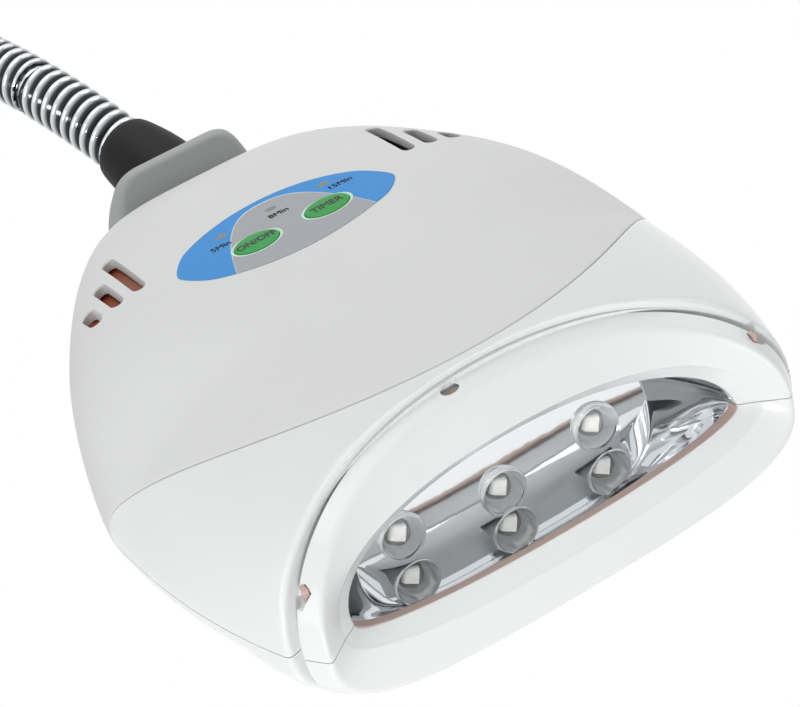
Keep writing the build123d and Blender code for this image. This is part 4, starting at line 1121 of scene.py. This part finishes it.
class Paint:
    """One material and its nodes."""

    def __init__(self, name):
        self.material = bpy.data.materials.new(name)
        self.material.use_nodes = True
        self.tree = self.material.node_tree
        self.shader = self.tree.nodes["Principled BSDF"]

    def node(self, kind, settings=None, *values, **named):
        """Add a node: settings first, then values or lines by position or by socket name."""
        made = self.tree.nodes.new(kind)
        for key, value in (settings or {}).items():
            setattr(made, key, value)
        for slot, value in list(enumerate(values)) + [(key.replace("_", " "), v) for key, v in named.items()]:
            self.put(made.inputs[slot], value)
        return [Line(self, socket) for socket in made.outputs if socket.enabled]

    def put(self, socket, value):
        """Link a line or set a plain value."""
        if isinstance(value, Line):
            self.tree.links.new(value.socket, socket)
        else:
            socket.default_value = value

    def set(self, **sockets):
        """Set the shader's own sockets."""
        for key, value in sockets.items():
            self.put(self.shader.inputs[key.replace("_", " ")], value)
        return self

    def place(self):
        """Object coordinates."""
        made = self.tree.nodes.new("ShaderNodeTexCoord")
        return Line(self, made.outputs["Object"])

    def head_place(self):
        """Object coordinates as x, y and z in head millimetres."""
        axes = self.node("ShaderNodeSeparateXYZ", None, self.place())
        return [(axis - float(start)) / MM for axis, start in zip(axes, HEAD)]

    def noise(self, scale, detail=4.0):
        """Fractal noise about a half."""
        return self.node("ShaderNodeTexNoise", {"noise_dimensions": "3D"}, Vector=self.place(), Scale=scale,
                         Detail=detail, Roughness=0.55)[0]

    def mix(self, share, one, two):
        """Colour between one and two."""
        made = self.tree.nodes.new("ShaderNodeMix")
        made.data_type = "RGBA"
        self.put(made.inputs["Factor"], share)
        self.put(made.inputs[6], one)
        self.put(made.inputs[7], two)
        return Line(self, made.outputs[2])

    def bump(self, height, strength, distance=0.0001):
        """Normal from a height."""
        return self.node("ShaderNodeBump", None, Strength=strength, Distance=distance, Height=height)[0]


def hue(*channels):
    """Colour from 0-255 display values, as linear light."""
    c = np.array(channels, float) / 255
    linear = np.where(c <= 0.04045, c / 12.92, ((c + 0.055) / 1.055) ** 2.4)
    return (*linear.tolist(), 1.0)


# %% [markdown]
# ## Plastics
# Moulded plastic is never perfect, so each has very faint unevenness in colour and gloss, and a grain in
# its normal: shallow on the glossy shells, and strong on the matte cover, where it spreads highlights. The
# finishes are kept by the names that the record gives them.

# %% Plastics by the record's names
# each row: name, colour, roughness, strength of the grain and its fineness
PLASTICS = {
    "gloss_shell": ("gloss_white", (226, 227, 227), 0.2, 0.03, 900.0),
    "matte_cover": ("matte_white", (216, 217, 215), 0.5, 0.22, 2600.0),
    "block": ("block_grey", (166, 168, 166), 0.6, 0.12, 2200.0),
    "boot": ("boot_black", (18, 18, 19), 0.55, 0.10, 1800.0),
    "black": ("plain_black", (30, 30, 30), 0.5, 0.05, 1500.0),
    "key": ("key_green", (10, 148, 54), 0.35, 0.05, 1200.0),
    "window": ("light_grey", (128, 128, 121), 0.35, 0.05, 1200.0),
    "emitter": ("chip_pale", (232, 230, 220), 0.4, 0.05, 1500.0),
    "board_brown": ("board_brown", (120, 62, 30), 0.45, 0.15, 1500.0),
    "board_white": ("board_white", (224, 224, 220), 0.45, 0.05, 1500.0),
}


def plastic(name, colour, rough, grain, fineness, spread=0.03, gloss_spread=0.08):
    """Moulded plastic: faint clouds in colour and gloss, and a fine grain in its normal."""
    paint = Paint(name)
    cloud = paint.noise(scale=60.0, detail=3.0)
    light = hue(*colour)
    dark = tuple(channel * (1 - spread) for channel in light[:3]) + (1.0,)
    return paint.set(Base_Color=paint.mix(cloud, light, dark), Roughness=(cloud - 0.5) * gloss_spread + rough,
                     Normal=paint.bump(paint.noise(fineness, detail=2.0), grain), Coat_Roughness=0.08)


finishes = {slot: plastic(*row) for slot, row in PLASTICS.items()}
finishes["gloss_shell"].set(Coat_Weight=0.3)
finishes["boot"].set(IOR=1.3)
notch_brown = plastic("notch_brown", (196, 170, 160), rough=0.5, grain=0.05, fineness=900.0)
# Painted shade and reflection: the ledge's brownish-pink stands for the sill's edge in shade and what it
# reflects.
ledge_shade_and_reflection = plastic("ledge_shade_and_reflection", (184, 160, 151), rough=0.4, grain=0.05, fineness=900.0)
slot_brown = plastic("slot_brown", (146, 70, 38), rough=0.45, grain=0.15, fineness=1500.0)
ink = plastic("ink", (24, 28, 30), rough=0.5, grain=0.02, fineness=1000.0)
cup_silver = plastic("cup_silver", (242, 244, 245), rough=0.14, grain=0.05, fineness=300.0)
cup_silver.set(Coat_Weight=0.6, Metallic=0.35)

# %% [markdown]
# ## Bright metal
# The reflector is plastic plated in vacuum: a mirror with a slight orange peel, and satin where its lower
# flank is out of sight. That flank is also painted a darker grey, so that the bands above mirror an even
# grey that stands for the shade inside the tray. The wound arm is plated steel, with shade painted darker
# into its grooves.

# %% Plated surfaces
MIRROR_COLOUR = (238, 240, 242)
MIRROR_ROUGH = 0.06
RIB_COLOUR = (222, 225, 228)
# each row: name, colour, roughness, strength of the waves and their fineness
METALS = {
    "plated": ("mirror_tray", MIRROR_COLOUR, MIRROR_ROUGH, 0.10, 120.0),
    "arm": ("arm_chrome", RIB_COLOUR, 0.14, 0.05, 500.0),
    "steel": ("plain_steel", (185, 186, 188), 0.28, 0.05, 900.0),
    "sink": ("sink_metal", (190, 192, 195), 0.3, 0.05, 900.0),
    "copper": ("coil_copper", (190, 120, 70), 0.3, 0.3, 1500.0),
}
FLANK_FRONT_Y = 29.0
FLANK_TOP_Z = -9.6
FLANK_HALF_WIDTH = 35.0
FLANK_ROUGHER = 0.44


def plated(name, colour, rough, peel, fineness, gloss_spread=0.06):
    """Mirror metal with a shallow wavy normal."""
    paint = Paint(name)
    wave = paint.noise(fineness, detail=2.0)
    return paint.set(Base_Color=hue(*colour), Metallic=1.0, Roughness=(wave - 0.5) * gloss_spread + rough,
                     Normal=paint.bump(wave, peel, distance=0.0004))


for slot, row in METALS.items():
    finishes[slot] = plated(*row)
mirror = finishes["plated"]
x, y, z = mirror.head_place()
# Painted grey: the hidden lower flank is darker and rougher, so that the bands above mirror it as an even
# grey that stands for the shade inside the tray.
painted_grey_flank_share = (y < FLANK_FRONT_Y) * (z < FLANK_TOP_Z) * (abs(x) < FLANK_HALF_WIDTH)
mirror.set(Base_Color=mirror.mix(painted_grey_flank_share, hue(*MIRROR_COLOUR), hue(208, 210, 211)),
           Roughness=painted_grey_flank_share * FLANK_ROUGHER + MIRROR_ROUGH)
chrome = finishes["arm"]
# Painted shade: the grooves' colour is darkened towards near black, standing for the shade between the ribs.
painted_groove_shade = chrome.node("ShaderNodeAttribute", {"attribute_name": "groove"})[2]
chrome.set(Base_Color=chrome.mix(painted_groove_shade, hue(*RIB_COLOUR), hue(52, 56, 60)))

# %% [markdown]
# ## Printed film, chips and domes
# The film is blue with a grey arch in its middle. The arch is a formula on the place: grey where the
# setback is less than a curve that falls away from the middle. A mint ring is printed round each key. Each
# diode has a clear dome over a square chip, which is given a painted glow, brighter on its front, in place
# of the lamp light that the dome keeps from the chip.

# %% Film, chips and domes
ARCH_TOP_Y = 132.3
ARCH_FALL = 23.8
ARCH_MIDDLE_X = -0.7
ARCH_HALF_WIDTH = 19.3
ARCH_POWER = 2.5
ARCH_EDGE = 0.25
KEY_RING_SIZE = 1.34
CHIP_FRONT_Y = 33.4


def film_paint():
    """Blue film, grey arch with a pale edge, mint rings round the keys."""
    paint = Paint("printed_film")
    x, y, _ = paint.head_place()
    arch = y - (ARCH_TOP_Y - ARCH_FALL * (abs(x - ARCH_MIDDLE_X) / ARCH_HALF_WIDTH) ** ARCH_POWER)
    blue, grey, pale, mint = hue(10, 132, 206), hue(156, 159, 163), hue(196, 204, 210), hue(196, 228, 208)
    colour = paint.mix(arch < ARCH_EDGE, blue, pale)
    colour = paint.mix(arch < -ARCH_EDGE, colour, grey)
    for side in SIDES:
        ring = ((x - side * KEY_X) / KEY_HALF[0]) ** 2 + ((y - KEY_Y) / KEY_HALF[1]) ** 2
        colour = paint.mix(ring < KEY_RING_SIZE, colour, mint)
    return paint.set(Base_Color=colour, Roughness=0.4, Coat_Weight=0.1, Coat_Roughness=0.1,
                     Normal=paint.bump(paint.noise(scale=1500.0), strength=0.06))


finishes["label"] = film_paint()
finishes["clear"] = Paint("dome_glass").set(Base_Color=(0.98, 0.98, 0.98, 1), Roughness=0.04,
                                            Transmission_Weight=0.6, IOR=1.42)
# Painted light: the chips glow in place of the lamp light that the clear domes keep from them, and their
# fronts glow brighter than the rest.
chip_painted_glow = finishes["emitter"]
painted_glow_front = chip_painted_glow.head_place()[1] < CHIP_FRONT_Y
chip_painted_glow.set(Emission_Color=chip_painted_glow.mix(painted_glow_front, hue(150, 152, 152), hue(206, 207, 204)), Emission_Strength=1.0)

# %% [markdown]
# ## Every piece gets its finish
# The boards, the heat sink and the screws are hidden, except for the brown board behind the left-hand
# slots, but every solid gets a real finish too: the one of its slot in the record.

# %% Finishes of pieces and solids
def wear(things, slot, paint=None):
    """Give pieces the finish of a slot in the record, or a paint of their own that stands for it."""
    for one in things:
        one.data.materials.clear()
        one.data.materials.append((paint or finishes[slot]).material)


wear([front_shell, bottom_shell], "gloss_shell")
wear([cover], "matte_cover")
wear([block], "block")
wear([boot], "boot")
wear([label], "label")
wear(keys.values(), "key")
wear(light_windows, "window")
wear(words, "black", ink)
wear([tray], "plated")
wear(cups, "plated", cup_silver)
wear(domes, "clear")
wear(chips, "emitter")
wear(segments, "arm")
wear([ferrule, spigot, lock_nut], "steel")
wear(notch_floors, "board_brown", notch_brown)
wear([ledge], "board_brown", ledge_shade_and_reflection)
wear([slot_board], "board_brown", slot_brown)
slot_of = {part["node"]: part["material_slot"] for part in frame["record"]["subparts"]}
for node, thing in frame["nodes"].items():
    for material_slot in thing.material_slots:
        material_slot.material = finishes[slot_of[node]].material
print(len(finishes), "finishes")

# %% [markdown]
# ## Stage, light and camera
# The lamp is shown over a plain white floor in soft light from above and from both sides. The camera
# stands where the photograph was taken, in front, above and to the left, with a long lens.

# %% Floor and world
FLOOR_DROP = 1 * MM
SKY = (0.97, 0.985, 1.0, 1)
SKY_STRENGTH = 0.5

bpy.ops.mesh.primitive_plane_add(size=8, location=(0, 0, cad_low.z - FLOOR_DROP))
floor = bpy.context.object
floor.name = "floor"
floor_paint = Paint("floor_white").set(Base_Color=(0.9, 0.9, 0.9, 1), Roughness=0.8, Specular_IOR_Level=0.1)


def whitened(tree, real, output, white_kind):
    """Show plain white to the camera, in mirrors and through glass, and the real surface otherwise."""
    white = tree.nodes.new(white_kind)
    white.inputs["Color"].default_value = (1, 1, 1, 1)
    white.inputs["Strength"].default_value = 1.0
    rays = tree.nodes.new("ShaderNodeLightPath")
    share = rays.outputs["Is Camera Ray"]
    for kind in ("Is Transmission Ray", "Is Glossy Ray"):
        either = tree.nodes.new("ShaderNodeMath")
        either.operation = "MAXIMUM"
        tree.links.new(share, either.inputs[0])
        tree.links.new(rays.outputs[kind], either.inputs[1])
        share = either.outputs[0]
    blend = tree.nodes.new("ShaderNodeMixShader")
    tree.links.new(share, blend.inputs[0])
    tree.links.new(real.outputs[0], blend.inputs[1])
    tree.links.new(white.outputs[0], blend.inputs[2])
    tree.links.new(blend.outputs[0], output.inputs["Surface"])


floor_end = floor_paint.tree.nodes["Material Output"]
whitened(floor_paint.tree, floor_paint.shader, floor_end, "ShaderNodeEmission")
floor.data.materials.append(floor_paint.material)
world = bpy.data.worlds.new("studio")
bpy.context.scene.world = world
world.use_nodes = True
sky = world.node_tree
sky_back = sky.nodes["Background"]
sky_back.inputs["Color"].default_value = SKY
sky_back.inputs["Strength"].default_value = SKY_STRENGTH
whitened(sky, sky_back, sky.nodes["World Output"], "ShaderNodeBackground")

# %% Soft lamps
LOOK_AT = Vector(HEAD) + Vector((0, 0.1, 0))


def soft_lamp(name, way, size, power):
    """Square area lamp that stands off by way from the point it looks at, in metres and watts."""
    lamp = bpy.data.lights.new(name, "AREA")
    lamp.size = size
    lamp.energy = power
    thing = added(name, lamp)
    thing.location = LOOK_AT + Vector(way)
    thing.rotation_euler = (-Vector(way)).to_track_quat("-Z", "Y").to_euler()


soft_lamp("lamp_top", (0.1, 0.3, 1.1), size=1.0, power=5.4)
soft_lamp("lamp_front", (-0.55, -1.15, -0.03), size=0.2, power=7.0)
soft_lamp("lamp_left", (-1.1, -0.3, 0.6), size=0.8, power=2.8)
soft_lamp("lamp_right", (1.1, 0.2, 0.7), size=0.8, power=2.0)

# %% Camera
PHOTO_WIDTH = 800.0
FOCAL_LENGTH = 2726.3
SENSOR_WIDTH = 36.0
CAMERA_PLACE = np.array([-196.67, -444.06, 367.35])
RIGHT = Vector((0.83790, -0.48815, -0.24420))
UP = Vector((0.45525, 0.37821, 0.80605))
BACK = Vector((-0.30111, -0.78656, 0.53913))

camera_data = bpy.data.cameras.new("camera")
camera_data.sensor_width = SENSOR_WIDTH
camera_data.lens = FOCAL_LENGTH * SENSOR_WIDTH / PHOTO_WIDTH
camera = added("camera", camera_data)
turn = Matrix((RIGHT, UP, BACK)).transposed().to_4x4()
camera.matrix_world = Matrix.Translation(Vector(CAMERA_PLACE * MM + HEAD)) @ turn
bpy.context.scene.camera = camera
bpy.context.scene.view_settings.view_transform = "Standard"
